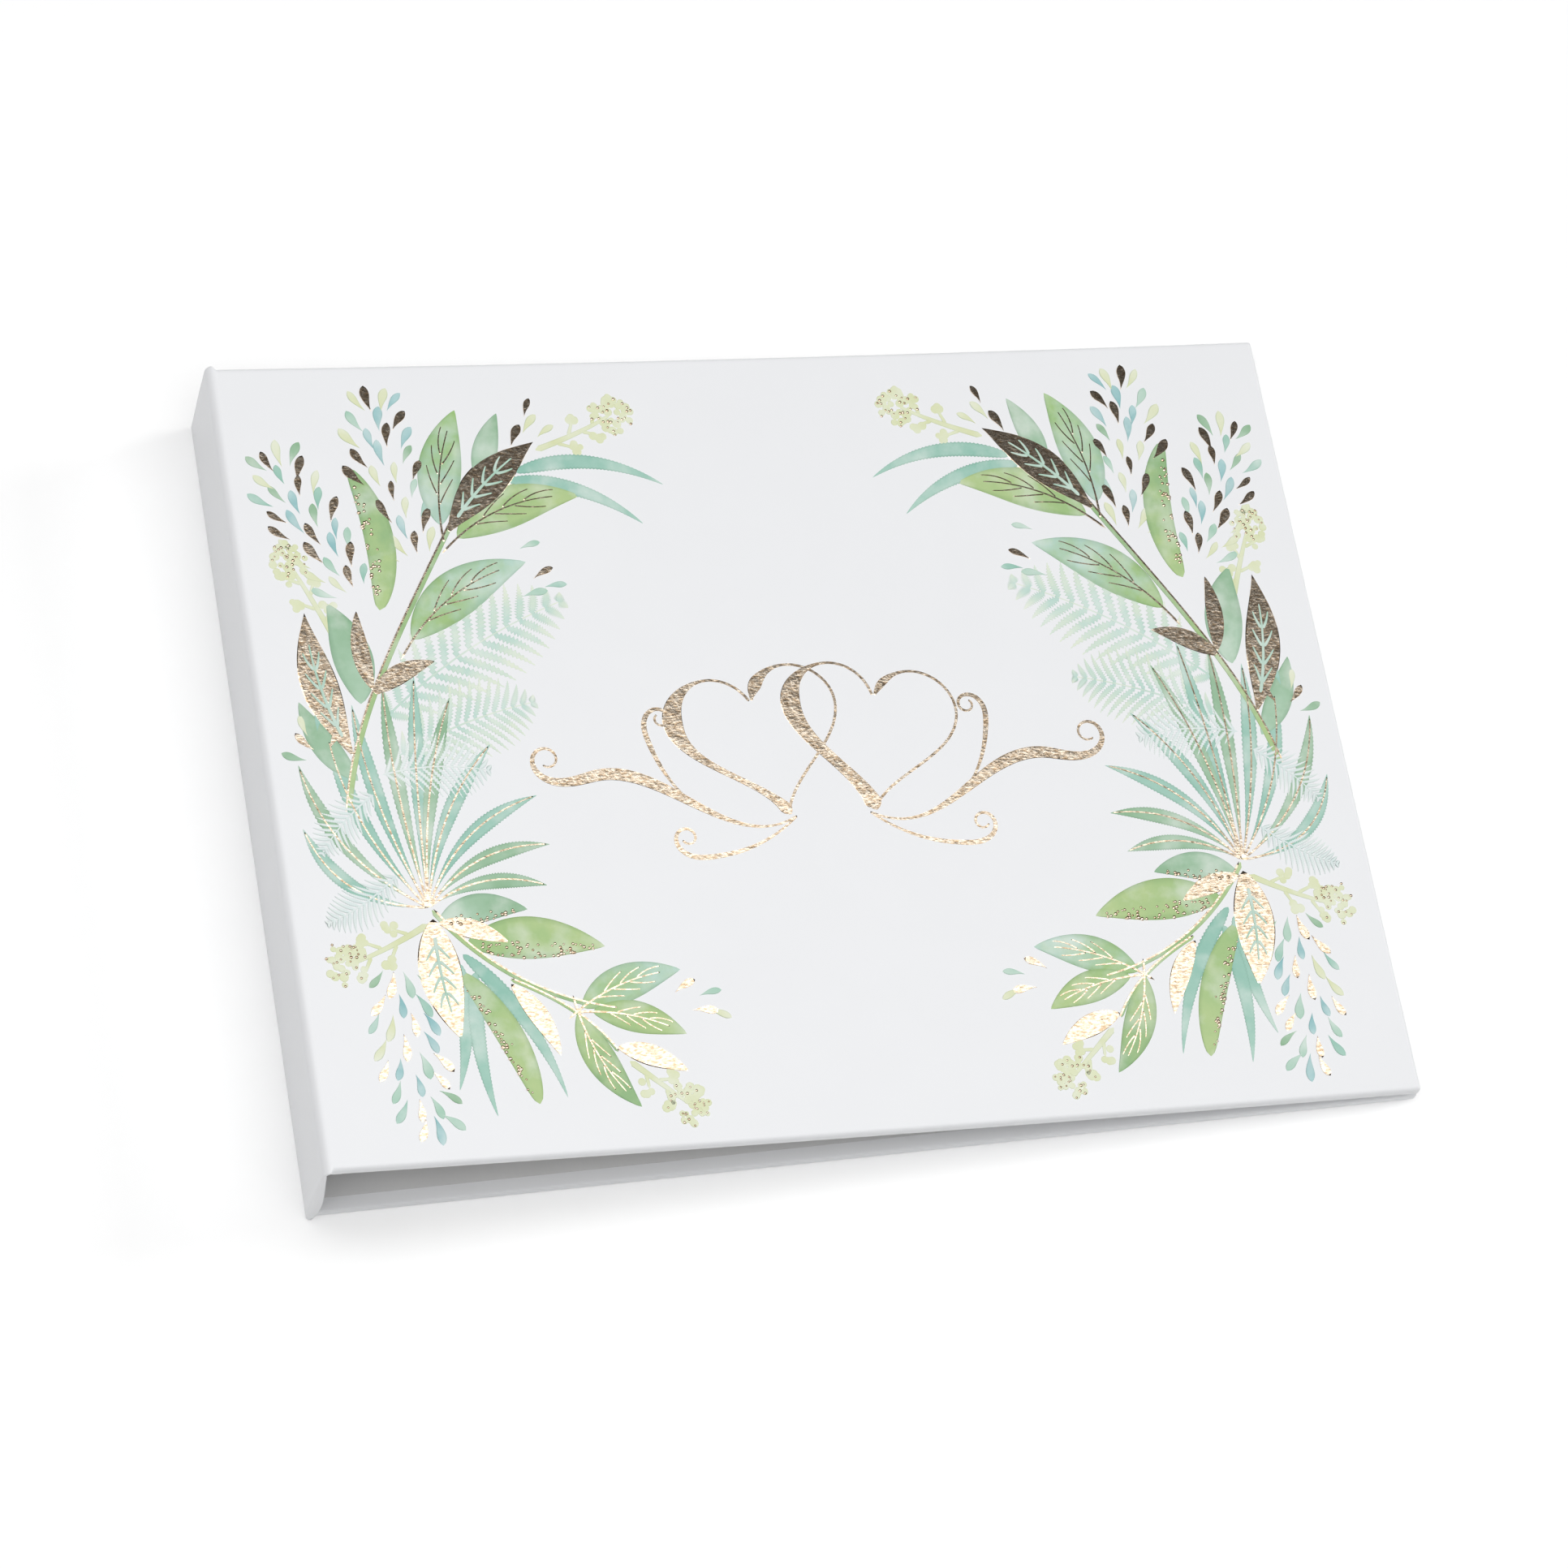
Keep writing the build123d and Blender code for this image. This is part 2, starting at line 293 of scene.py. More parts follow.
@dataclass(frozen=True)
class HotFoil:
    """Champagne gold hot-stamped foil.

    The foil takes the tooth of the paper under it: a bump in patches about half a millimetre
    long breaks up the mirror-bright film. The same pattern also paints pale and dark patches
    into the base colour as painted reflection, though a real foil's tint is even.
    """

    name: str = "champagne_hot_foil"
    # The two tints below are the pale and dark ends of the painted reflection in the base colour.
    light: str = "f0e2cf"
    shade: str = "bda384"

    def make(self) -> bpy.types.Material:
        """Build the foil's material."""
        material, tree, shader = new_material(self.name)
        tooth_and_glint_pattern = place_noise(tree, 0.45 * MM, 4.0, (2.2, 1, 1))
        crumple = place_noise(tree, 1.6 * MM, 3.0, (1, 1.6, 1))
        # Painted reflection: the base colour swings between the pale and dark tints with the tooth
        # pattern.
        tone = add_node(tree, "ValToRGB", {0: tooth_and_glint_pattern}, ((0.35, self.shade), (0.62, self.light)))
        under = add_node(tree, "Bump", {"Height": crumple, "Distance": 0.05 * MM})
        inputs = {"Height": tooth_and_glint_pattern, "Distance": 0.018 * MM, "Normal": under}
        normal = add_node(tree, "Bump", inputs)
        set_inputs(tree, shader, {
            "Base Color": tone, "Metallic": 1.0, "Roughness": 0.16, "Normal": normal,
        })
        return material


@dataclass(frozen=True)
class WatercolourPrint:
    """Printed watercolour wash, flat in the paper.

    Each shape holds its own two wash colours. The wash runs from one to the other along the
    shape, blooms in soft patches, pools darker at the rim and thins to pale here and there.
    """

    name: str = "watercolour_print"
    bloom: float = 4.2 * MM
    pooling: float = 0.26
    thinning: float = 0.5
    pooled: str = "5f9a7a"
    bare: str = "f3f6f2"

    def make(self) -> bpy.types.Material:
        """Build the wash from the shape's colour attributes and its UV map."""
        material, tree, shader = new_material(self.name)
        base, tip = (add_node(tree, "Attribute", attribute_name=name) for name in WASH_ATTRIBUTES)
        uv = add_node(tree, "UVMap", uv_map=WASH_UV)
        parts = add_node(tree, "SeparateXYZ", {0: uv}).outputs
        blooms = place_noise(tree, self.bloom, 4.0)
        shift = add_node(tree, "Math", {0: blooms, 1: 1.6, 2: -0.8}, operation="MULTIPLY_ADD")
        share = add_node(
            tree, "Math", {0: parts["X"], 1: shift}, operation="ADD", use_clamp=True
        )
        thin = add_node(tree, "MapRange", {
            "Value": place_noise(tree, self.bloom * 1.7, 5.0), "From Min": 0.45,
            "From Max": 0.75, "To Max": self.thinning,
        })
        across = add_node(tree, "Math", {0: parts["Y"], 1: 0.5}, operation="SUBTRACT")
        rim = add_node(tree, "Math", {0: across}, operation="ABSOLUTE")
        pool = add_node(tree, "MapRange", {
            "Value": rim, "From Min": 0.34, "From Max": 0.5, "To Max": self.pooling,
        })
        wash = base
        for amount, tint, blend in (
            (share, tip, "MIX"), (thin, colour(self.bare), "MIX"),
            (pool, colour(self.pooled), "MULTIPLY"),
        ):
            inputs = {0: amount, 6: wash, 7: tint}
            wash = add_node(tree, "Mix", inputs, data_type="RGBA", blend_type=blend)
        set_inputs(tree, shader, {"Base Color": wash, "Roughness": 0.5})
        return material


class Finish(Enum):
    """Every finish on the book."""

    COVERING = Paper("matte_laminated_paper", "f0f1f3", "eff0f2", 0.46, 0.35 * MM, 0.006 * MM)
    # Painted shade: the lining paper is darkened below white so the inside of the tail gap reads as
    # shadowed.
    LINER = Paper("shade_darkened_lining_paper", "e0e0e0", "dcdcdc", 0.75, 0.5 * MM, 0.015 * MM)
    TITLE_PAPER = Paper("ivory_title_paper", "f5f3ec", "efece3", 0.72, 0.5 * MM, 0.012 * MM)
    BOARD = Greyboard()
    NICKEL = Metal("nickel_plated_steel", "dcdcde", "c4c4c8", 0.16, 0.12 * MM, 0.002 * MM)
    BLADE = Metal("rolled_spring_steel", "b4b4b6", "95959a", 0.34, 0.15 * MM, 0.006 * MM)
    FOIL = HotFoil()
    PRINT = WatercolourPrint()
    RULED = RuledPaper(
        "ivory_ruled_paper", "f6f4ee", "f0ede5", "b9c7bd", pitch=9.5 * MM, line_width=0.28 * MM,
        low=-68 * MM, high=58 * MM, left=-78 * MM, right=92 * MM,
    )

    def material(self) -> bpy.types.Material:
        """The finish's material, made once and then shared."""
        return bpy.data.materials.get(self.value.name) or self.value.make()


# ---------------------------------------------------------------- mesh helpers

SHARP_ANGLE = np.radians(35)


def mesh_object(
    name: str, vertices: np.ndarray, faces: list, finish: Finish, smooth: bool = True
) -> bpy.types.Object:
    """Make a mesh object from arrays.

    Args:
        name: the piece's name.
        vertices: points, one row each, in metres.
        faces: lists of point numbers.
        finish: what the surface is made of.
        smooth: whether shading runs smoothly over its faces.

    Returns:
        The new object, linked to the scene.
    """
    mesh = bpy.data.meshes.new(name)
    mesh.from_pydata(vertices.tolist(), [], faces)
    mesh.polygons.foreach_set("use_smooth", np.full(len(mesh.polygons), smooth))
    mesh.materials.append(finish.material())
    mesh.validate()
    mesh.update()
    if smooth:
        mesh.set_sharp_from_angle(angle=SHARP_ANGLE)
    piece = bpy.data.objects.new(name, mesh)
    bpy.context.scene.collection.objects.link(piece)
    return piece


def grid_quads(index: np.ndarray, flip: bool = False) -> np.ndarray:
    """Quads between neighbouring rows and columns of an index grid, turned over if asked.

    Args:
        index: point numbers, row by row.
        flip: whether the quads are turned over.

    Returns:
        One row of four point numbers for each quad.
    """
    quads = np.stack(
        [index[:-1, :-1], index[1:, :-1], index[1:, 1:], index[:-1, 1:]], axis=-1
    ).reshape(-1, 4)
    return quads[:, ::-1] if flip else quads


def thicken(
    vertices: np.ndarray, quads: np.ndarray, thickness: float
) -> tuple[np.ndarray, np.ndarray]:
    """Give an open sheet a thickness on its inner side.

    Each point gets a copy moved back along the average normal of its faces. Each edge that
    only one face uses is closed with a quad between the sheet and its copy.

    Args:
        vertices: the sheet's points.
        quads: its faces, pointing outwards.
        thickness: in metres.

    Returns:
        Points and faces of the closed shell.
    """
    corners = vertices[quads]
    normals = np.cross(corners[:, 2] - corners[:, 0], corners[:, 3] - corners[:, 1])
    summed = np.zeros_like(vertices)
    for place in range(4):
        np.add.at(summed, quads[:, place], normals)
    lengths = np.linalg.norm(summed, axis=1, keepdims=True)
    inner = vertices - thickness * summed / np.maximum(lengths, 1e-18)
    count = len(vertices)
    starts = quads.reshape(-1)
    ends = np.roll(quads, -1, axis=1).reshape(-1)
    forward = starts.astype(np.int64) * count + ends
    backward = ends.astype(np.int64) * count + starts
    rim = ~np.isin(forward, backward)
    a, b = starts[rim], ends[rim]
    rim_quads = np.stack([b, a, a + count, b + count], axis=1)
    faces = np.concatenate([quads, quads[:, ::-1] + count, rim_quads])
    return np.concatenate([vertices, inner]), faces


def drop_unused(vertices: np.ndarray, faces: np.ndarray) -> tuple[np.ndarray, np.ndarray]:
    """Leave out points that no face uses, and renumber the faces.

    Args:
        vertices: points, one row each.
        faces: point numbers, one row for each face.

    Returns:
        The points in use, and the faces that use them.
    """
    used, numbers = np.unique(faces, return_inverse=True)
    return vertices[used], numbers.reshape(faces.shape)


# ---------------------------------------------------------------- case geometry

@dataclass(frozen=True)
class PanelLine:
    """Cross-section line of a cover or the spine, from a crease outwards, straight or bowed."""

    corner: np.ndarray
    along: np.ndarray
    outward: np.ndarray
    width: float
    bow: float = 0.0

    def at(self, distance: np.ndarray, depth: np.ndarray) -> tuple[np.ndarray, np.ndarray]:
        """Points at a distance from the crease and a depth below the outer face.

        A bowed line is an arc whose middle lies deeper than its ends by the bow. Its centre
        is outside the book, so deeper layers have a larger radius.

        Returns:
            X and Z of each point.
        """
        if self.bow:
            half = self.width / 2
            radius = (half**2 + self.bow**2) / (2 * self.bow)
            turn = (distance - half) / radius
            run = half + (radius + depth) * np.sin(turn)
            rise = radius - self.bow - (radius + depth) * np.cos(turn)
        else:
            run, rise = distance, -depth
        return (
            self.corner[0] + run * self.along[0] + rise * self.outward[0],
            self.corner[1] + run * self.along[1] + rise * self.outward[1],
        )


@dataclass(frozen=True)
class CreaseLine:
    """Cross-section line round a crease: down the spine to the corner and along the cover.

    Distances are negative on the spine, zero at the corner and positive on the cover. The
    corner is an arc, tangent to both.
    """

    spine_way: np.ndarray
    cover: PanelLine
    radius: float

    @property
    def cosine(self) -> float:
        """Cosine of the angle between the two sides."""
        return float(self.spine_way @ self.cover.along)

    @property
    def tangent(self) -> float:
        """Distance from the corner to where the arc starts."""
        half_angle = np.arccos(self.cosine) / 2
        return self.radius / np.tan(half_angle)

    def at(self, distance: np.ndarray, depth: np.ndarray) -> tuple[np.ndarray, np.ndarray]:
        """Points at a distance past the corner and a depth below the outer face."""
        corner, along = self.cover.corner, self.cover.along
        sine = np.sqrt(1 - self.cosine**2)
        centre = corner + (self.spine_way + along) * self.radius / sine
        spine_out = corner + self.spine_way * self.tangent - centre
        cover_out = corner + along * self.tangent - centre
        share = np.clip((distance + self.tangent) / (2 * self.tangent), 0, 1)[..., None]
        between = np.pi - np.arccos(self.cosine)
        spine_weight, cover_weight = np.sin((1 - share) * between), np.sin(share * between)
        outward = spine_weight * spine_out + cover_weight * cover_out
        outward /= np.sin(between) * self.radius
        arc = centre + (self.radius - depth)[..., None] * outward
        before = np.minimum(distance + self.tangent, 0)[..., None]
        arc = arc - before * self.spine_way
        x, z = arc[..., 0], arc[..., 1]
        on_cover = distance > self.tangent
        cover_x, cover_z = self.cover.at(distance, depth)
        return np.where(on_cover, cover_x, x), np.where(on_cover, cover_z, z)


@dataclass(frozen=True)
class Slab:
    """A paper-covered panel: an outer and an inner face that round over at its edges.

    A point's depth below the outer line is the face's own depth plus a quarter-circle drop
    that starts one rounding radius in from the nearest edge.
    """

    line: PanelLine | CreaseLine
    stops: np.ndarray
    gaps: np.ndarray
    half_height: np.ndarray
    outer_depth: np.ndarray
    inner_depth: np.ndarray
    outer_round: float = 1.1 * MM
    inner_round: float = 0.45 * MM
    plan_round: float = 0.7 * MM
    outer_share: float = 0.42
    inner_share: float = 0.3
    fore_edge: bool = False
    flip: bool = False

    def grids(self) -> tuple[np.ndarray, np.ndarray]:
        """Outer and inner points, stop by stop from tail to head, and each point's edge gap."""
        half = self.half_height[:, None]
        across = np.concatenate([self.gaps - half, (half - self.gaps)[:, ::-1]], axis=1)
        distance = np.broadcast_to(self.stops[:, None], across.shape)
        gap = half - np.abs(across)
        if self.fore_edge:
            width, corner = self.line.width, self.plan_round
            over_end = np.clip((distance - width + corner) / corner, 0, 1)
            over_side = np.clip((np.abs(across) - half + corner) / corner, 0, 1)
            turned = (over_end > 0) & (over_side > 0)
            end_part = over_end * np.sqrt(1 - over_side**2 / 2)
            side_part = over_side * np.sqrt(1 - over_end**2 / 2)
            distance = np.where(turned, width - corner + corner * end_part, distance)
            side = half - corner + corner * side_part
            across = np.where(turned, np.sign(across) * side, across)
            straight_gap = np.minimum(gap, width - distance)
            gap = np.where(turned, corner * (1 - np.hypot(end_part, side_part)), straight_gap)
        points = []
        total = (self.inner_depth - self.outer_depth)[:, None]
        for depth, way, limit, share in (
            (self.outer_depth, 1, self.outer_round, self.outer_share),
            (self.inner_depth, -1, self.inner_round, self.inner_share),
        ):
            radius = np.minimum(limit, share * total)
            drop = radius - np.sqrt(np.maximum(radius**2 - np.maximum(radius - gap, 0) ** 2, 0))
            x, z = self.line.at(distance, depth[:, None] + way * drop)
            points.append(np.stack([x, across, z], axis=-1).reshape(-1, 3))
        return np.concatenate(points), gap

    def faces(self, gap: np.ndarray, turn_in: float | None) -> np.ndarray:
        """Faces of the slab, closed, or open inside beyond a turn-in's width.

        Args:
            gap: each point's distance from the nearest edge.
            turn_in: width of the folded-in band, or None for a closed slab.

        Returns:
            Quads, pointing outwards.
        """
        rows, columns = len(self.stops), 2 * len(self.gaps)
        outer = np.arange(rows * columns).reshape(rows, columns)
        inner = outer + rows * columns
        inside = grid_quads(inner, flip=True)
        sides = [
            np.stack([outer[:-1, 0], inner[:-1, 0], inner[1:, 0], outer[1:, 0]], axis=1),
            np.stack([outer[1:, -1], inner[1:, -1], inner[:-1, -1], outer[:-1, -1]], axis=1),
        ]
        start = np.stack([outer[0, :-1], outer[0, 1:], inner[0, 1:], inner[0, :-1]], axis=1)
        end = np.stack([outer[-1, 1:], outer[-1, :-1], inner[-1, :-1], inner[-1, 1:]], axis=1)
        if turn_in is None:
            sides += [start, end]
        else:
            middle = (gap[:-1, :-1] + gap[1:, 1:]) / 2
            inside = inside[middle.reshape(-1) < turn_in]
            if self.fore_edge:
                sides.append(end)
        quads = np.concatenate([grid_quads(outer), inside, *sides])
        return quads[:, ::-1] if self.flip else quads

    def build(
        self, name: str, finish: Finish, wall: float | None = None, turn_in: float | None = None
    ) -> bpy.types.Object:
        """Make the slab's object, as a closed block or as a shell of one wall thickness.

        Args:
            name: the piece's name.
            finish: what it is made of.
            wall: the shell's thickness, or None for a block.
            turn_in: width of the folded-in band, or None for a closed slab.

        Returns:
            The new object.
        """
        points, gap = self.grids()
        quads = self.faces(gap, turn_in)
        if wall is not None:
            points, quads = drop_unused(points, quads)
            points, quads = thicken(points, quads, wall)
        return mesh_object(name, points, quads.tolist(), finish)


def smooth_step(value: np.ndarray) -> np.ndarray:
    """Ease from 0 to 1 with level ends: three times the square less twice the cube."""
    value = np.clip(value, 0, 1)
    return value * value * (3 - 2 * value)


@dataclass
class Case:
    """The folded case: two covers and a spine in one covering paper, with paper liners.

    The edge gaps are the rows of points beside every edge, in millimetres from it.
    """

    thickness: float = 2.70 * MM
    liner: float = 0.15 * MM
    wrap: float = 0.20 * MM
    turn_in: float = 15 * MM
    liner_margin: float = 3 * MM
    cover_start: float = 4.0 * MM
    spine_start: float = 1.6 * MM
    spine_stop: float = 2.4 * MM
    spine_bulge: float = 0.25 * MM
    thickest_at: float = 0.32
    fold_thickness: float = 0.55 * MM
    front_crease_radius: float = 1.8 * MM
    back_crease_radius: float = 1.3 * MM
    front_slope: float = np.radians(5.3)
    front_bow: float = 1.35 * MM
    face_step: float = 7 * MM
    blend_reach: float = 0.7 * MM
    edge_gaps: tuple[float, ...] = (
        0, 0.03, 0.12, 0.28, 0.45, 0.62, 0.85, 1.1, 1.3, 1.8, 3, 5, 9, 15,
    )
    pieces: list[bpy.types.Object] = field(default_factory=list)

    def __post_init__(self) -> None:
        """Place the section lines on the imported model's joints and boxes."""
        back_axis = np.array(JOINTS["spine_hinge"]["pos_m"])[[0, 2]]
        front_axis = np.array(JOINTS["front_hinge"]["pos_m"])[[0, 2]]
        cover_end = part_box("back_wrap")[1][0]
        width = cover_end - back_axis[0]
        rise = front_axis - back_axis
        self.spine_length = float(np.hypot(*rise))
        self.spine_up = rise / self.spine_length
        slope_cos, slope_sin = np.cos(self.front_slope), np.sin(self.front_slope)
        self.front = PanelLine(
            front_axis, np.array([slope_cos, -slope_sin]), np.array([slope_sin, slope_cos]),
            width, self.front_bow,
        )
        self.back = PanelLine(back_axis, np.array([1.0, 0.0]), np.array([0.0, -1.0]), width)
        away = np.array([-self.spine_up[1], self.spine_up[0]])
        self.spine = PanelLine(back_axis, self.spine_up, away, self.spine_length)
        self.cover_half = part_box("front_wrap")[1][1]
        self.spine_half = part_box("spine_wrap")[1][1]
        self.paste_depth = self.thickness - self.liner
        near = np.array(self.edge_gaps) * MM
        inward = np.arange(
            near[-1] + self.face_step, self.cover_half - self.face_step / 2, self.face_step
        )
        self.gaps = np.concatenate([near, inward])

    def cover_slab(self, line: PanelLine, flip: bool) -> Slab:
        """The covered slab of one cover, without its liner.

        Args:
            line: the cover's cross-section line.
            flip: whether its faces are turned over.

        Returns:
            The slab.
        """
        end_gaps = self.gaps[:len(self.edge_gaps)]
        inner = np.linspace(self.cover_start, line.width - end_gaps[-1] - self.face_step, 32)
        stops = np.concatenate([inner, line.width - end_gaps[::-1]])
        ones = np.ones_like(stops)
        return Slab(
            line, stops, self.gaps, self.cover_half * ones, 0 * ones, self.paste_depth * ones,
            fore_edge=True, flip=flip,
        )

    def spine_depth(self, distance: np.ndarray) -> np.ndarray:
        """Thickness of the covered spine: a lens, thin at both creases and thickest low down.

        Below the thickest place it rounds in like a superellipse. Above, it thins almost evenly.

        Args:
            distance: from the back crease.

        Returns:
            The thickness at each distance.
        """
        place = distance / self.spine_length
        low = (1 - place / self.thickest_at).clip(0, 1)
        high = ((place - self.thickest_at) / (1 - self.thickest_at)).clip(0, 1)
        swell = np.where(low > 0, (1 - low**2.6) ** 0.6, 1 - high**1.5)
        return self.fold_thickness + (self.paste_depth - self.fold_thickness) * swell

    def bulge(self, distance: np.ndarray) -> np.ndarray:
        """How far the spine's outer face stands out: a parabola from crease to crease."""
        place = 2 * distance / self.spine_length - 1
        return self.spine_bulge * (1 - place**2).clip(0)

    def spine_slab(self, outer: float, inner_cut: float, margin: float) -> Slab:
        """A layer of the spine, between a depth and the covered spine's inner face less a cut.

        Args:
            outer: depth of the layer's outer face.
            inner_cut: how far its inner face stands back.
            margin: how far its ends stand back.

        Returns:
            The slab.
        """
        stops = np.linspace(self.spine_start, self.spine_length - self.spine_stop, 30)
        bulge = self.bulge(stops)
        return Slab(
            self.spine, stops, self.gaps, (self.spine_half - margin) * np.ones_like(stops),
            outer - bulge, self.spine_depth(stops) - inner_cut - bulge,
        )

    def crease_slab(self, spine_way: np.ndarray, cover: PanelLine, front: bool) -> Slab:
        """The folded strip between spine and cover, thin at the corner, with board-thick ends.

        Args:
            spine_way: direction from the crease along the spine.
            cover: the cover's cross-section line.
            front: whether it is the front crease.

        Returns:
            The slab.
        """
        line = CreaseLine(
            spine_way, cover, self.front_crease_radius if front else self.back_crease_radius
        )
        reach = self.spine_stop if front else self.spine_start
        corner = line.tangent
        stops = np.concatenate([
            np.linspace(-reach, -corner, 3)[:-1],
            np.linspace(-corner, corner, 17),
            np.linspace(corner, self.cover_start, 10)[1:],
        ])
        down = np.maximum(-stops, 0)
        up_spine = self.spine_length - down if front else down
        bulge = self.bulge(up_spine)
        past = smooth_step((stops - 0.9 * MM) / (1.5 * MM))
        cover_part = self.fold_thickness + (self.thickness - self.fold_thickness) * past
        depth = np.where(stops > 0, cover_part, self.spine_depth(up_spine))
        half = self.spine_half - (self.spine_half - self.cover_half) * past
        return Slab(line, stops, self.gaps, half, -bulge, depth - bulge, flip=not front)

    def build(self) -> None:
        """Build the covering paper, the spine's board and liner, and dress the CAD layers."""
        for line, side, flip in ((self.front, "front", False), (self.back, "back", True)):
            cover = self.cover_slab(line, flip).build(
                f"{side}_cover_paper", Finish.COVERING, self.wrap, self.turn_in
            )
            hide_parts(f"{side}_wrap")
            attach(cover, f"{side}_cover")
            self.pieces.append(cover)
        paper = self.spine_slab(0, 0, 0)
        spine = paper.build("spine_paper", Finish.COVERING, self.wrap, self.turn_in)
        stiffener = self.spine_slab(self.wrap, self.wrap, self.wrap)
        board = stiffener.build("spine_stiffener", Finish.BOARD)
        liner = self.spine_slab(0, 0, self.liner_margin)
        depth = liner.inner_depth
        liner = replace(liner, outer_depth=depth, inner_depth=depth + self.liner)
        lining = liner.build("spine_lining", Finish.LINER)
        for piece, node, slot in (
            (spine, "spine_wrap", "wrap_paper"),
            (board, "spine_board", "greyboard"),
            (lining, "spine_liner", "liner_paper"),
        ):
            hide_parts(node)
            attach(piece, "spine")
            self.pieces.append(piece)
        creases = (("front", -self.spine_up, self.front), ("back", self.spine_up, self.back))
        for side, spine_way, cover_line in creases:
            crease = self.crease_slab(spine_way, cover_line, side == "front").build(
                f"{side}_crease_paper", Finish.COVERING
            )
            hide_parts(f"{side}_crease")
            across = cover_line.along - spine_way
            across = across / np.hypot(*across)
            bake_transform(crease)
            self.pieces.append(crease)
        for side in ("front", "back"):
            dress(f"{side}_board", Finish.BOARD)
            dress(f"{side}_liner", Finish.LINER)

    def print_point(self, distance: np.ndarray, up: np.ndarray, height: np.ndarray) -> np.ndarray:
        """Points over the front cover's outer face.

        Args:
            distance: from the front crease.
            up: from the tail edge, towards the head.
            height: above the paper.

        Returns:
            X, Y and Z of each point.
        """
        x, z = self.front.at(distance, -height)
        return np.stack([x, up - self.cover_half, z], axis=-1)


def dress(node: str, finish: Finish) -> None:
    """Give a CAD node its finish.

    Args:
        node: the CAD node's name.
        finish: what it is made of.
    """
    mesh = frame["nodes"][node].data
    mesh.materials.clear()
    mesh.materials.append(finish.material())


# ---------------------------------------------------------------- cover artwork

def unit(angle: float | np.ndarray) -> np.ndarray:
    """Unit vectors at angles from across towards up."""
    return np.stack([np.cos(angle), np.sin(angle)], axis=-1)


def headings(path: np.ndarray) -> np.ndarray:
    """Angles of a path's direction at each of its points."""
    return np.arctan2(*np.gradient(path, axis=0).T[::-1])


def bezier(controls: list | np.ndarray, share: np.ndarray) -> np.ndarray:
    """Points of a Bezier curve, by moving each control towards the next until one is left.

    Args:
        controls: the curve's controls, from its start to its end.
        share: shares of the way along the curve.

    Returns:
        One point for each share.
    """
    rows = np.repeat(np.asarray(controls, float)[:, None, :], len(share), axis=1)
    while len(rows) > 1:
        rows = rows[:-1] + (rows[1:] - rows[:-1]) * share[:, None]
    return rows[0]


def left_of(path: np.ndarray) -> np.ndarray:
    """Unit vectors to the left of a path at each of its points."""
    way = np.gradient(path, axis=0)
    way /= np.linalg.norm(way, axis=1, keepdims=True)
    return np.stack([-way[:, 1], way[:, 0]], axis=1)


class Wash(Enum):
    """Watercolour washes, as the colours at a shape's base and tip."""

    SAGE = ("acccb2", "90b894")
    LIME = ("a0c283", "b6cd90")
    GRASS = ("b2cc8e", "92b883")
    TEAL = ("90c2b1", "a8cfc0")
    MINT = ("c4dccf", "a9cfbb")
    POND = ("7fb7bb", "b0d3d4")
    DAWN = ("b2d0c0", "9dc37c")
    DUSK = ("a1c382", "b7d6c8")
    PALE = ("dae0b2", "e4e9cb")
    FERN = ("bedbd1", "e3ebd9")
    MIST = ("dde9e8", "e8efed")


class Outline(Enum):
    """Leaf outlines, as the skew and the exponent of a sine bump along the leaf."""

    OVATE = (0.86, 0.85)
    SWORD = (1.5, 0.95)
    LANCE = (1.0, 1.1)
    DROP = (1.9, 0.8)
    BLADE = (0.62, 0.8)
    STRAP = (0.95, 0.5)


@dataclass(frozen=True)
class Leaf:
    """A leaf in millimetres on the cover: base, tip, widest width, bend and outline.

    The bend is how far the middle lies to the left, as a share of the length.
    """

    base: tuple[float, float]
    tip: tuple[float, float]
    width: float
    bend: float = 0.06
    outline: Outline = Outline.OVATE

    def centre(self, share: np.ndarray) -> np.ndarray:
        """Points of the middle line, from base at 0 to tip at 1."""
        base, tip = np.array(self.base, float), np.array(self.tip, float)
        way = tip - base
        middle = (base + tip) / 2 + 2 * self.bend * np.array([-way[1], way[0]])
        return bezier([base, middle, tip], share)

    def half(self, share: np.ndarray) -> np.ndarray:
        """Half the width, by the outline's sine bump."""
        skew, power = self.outline.value
        return self.width / 2 * np.sin(np.pi * np.clip(share, 0, 1) ** skew).clip(0) ** power

    def at(self, share: np.ndarray, side: np.ndarray) -> np.ndarray:
        """Points at a share of the length and a share of the half width, left positive."""
        centre = self.centre(share)
        return centre + left_of(centre) * (side * self.half(share))[:, None]


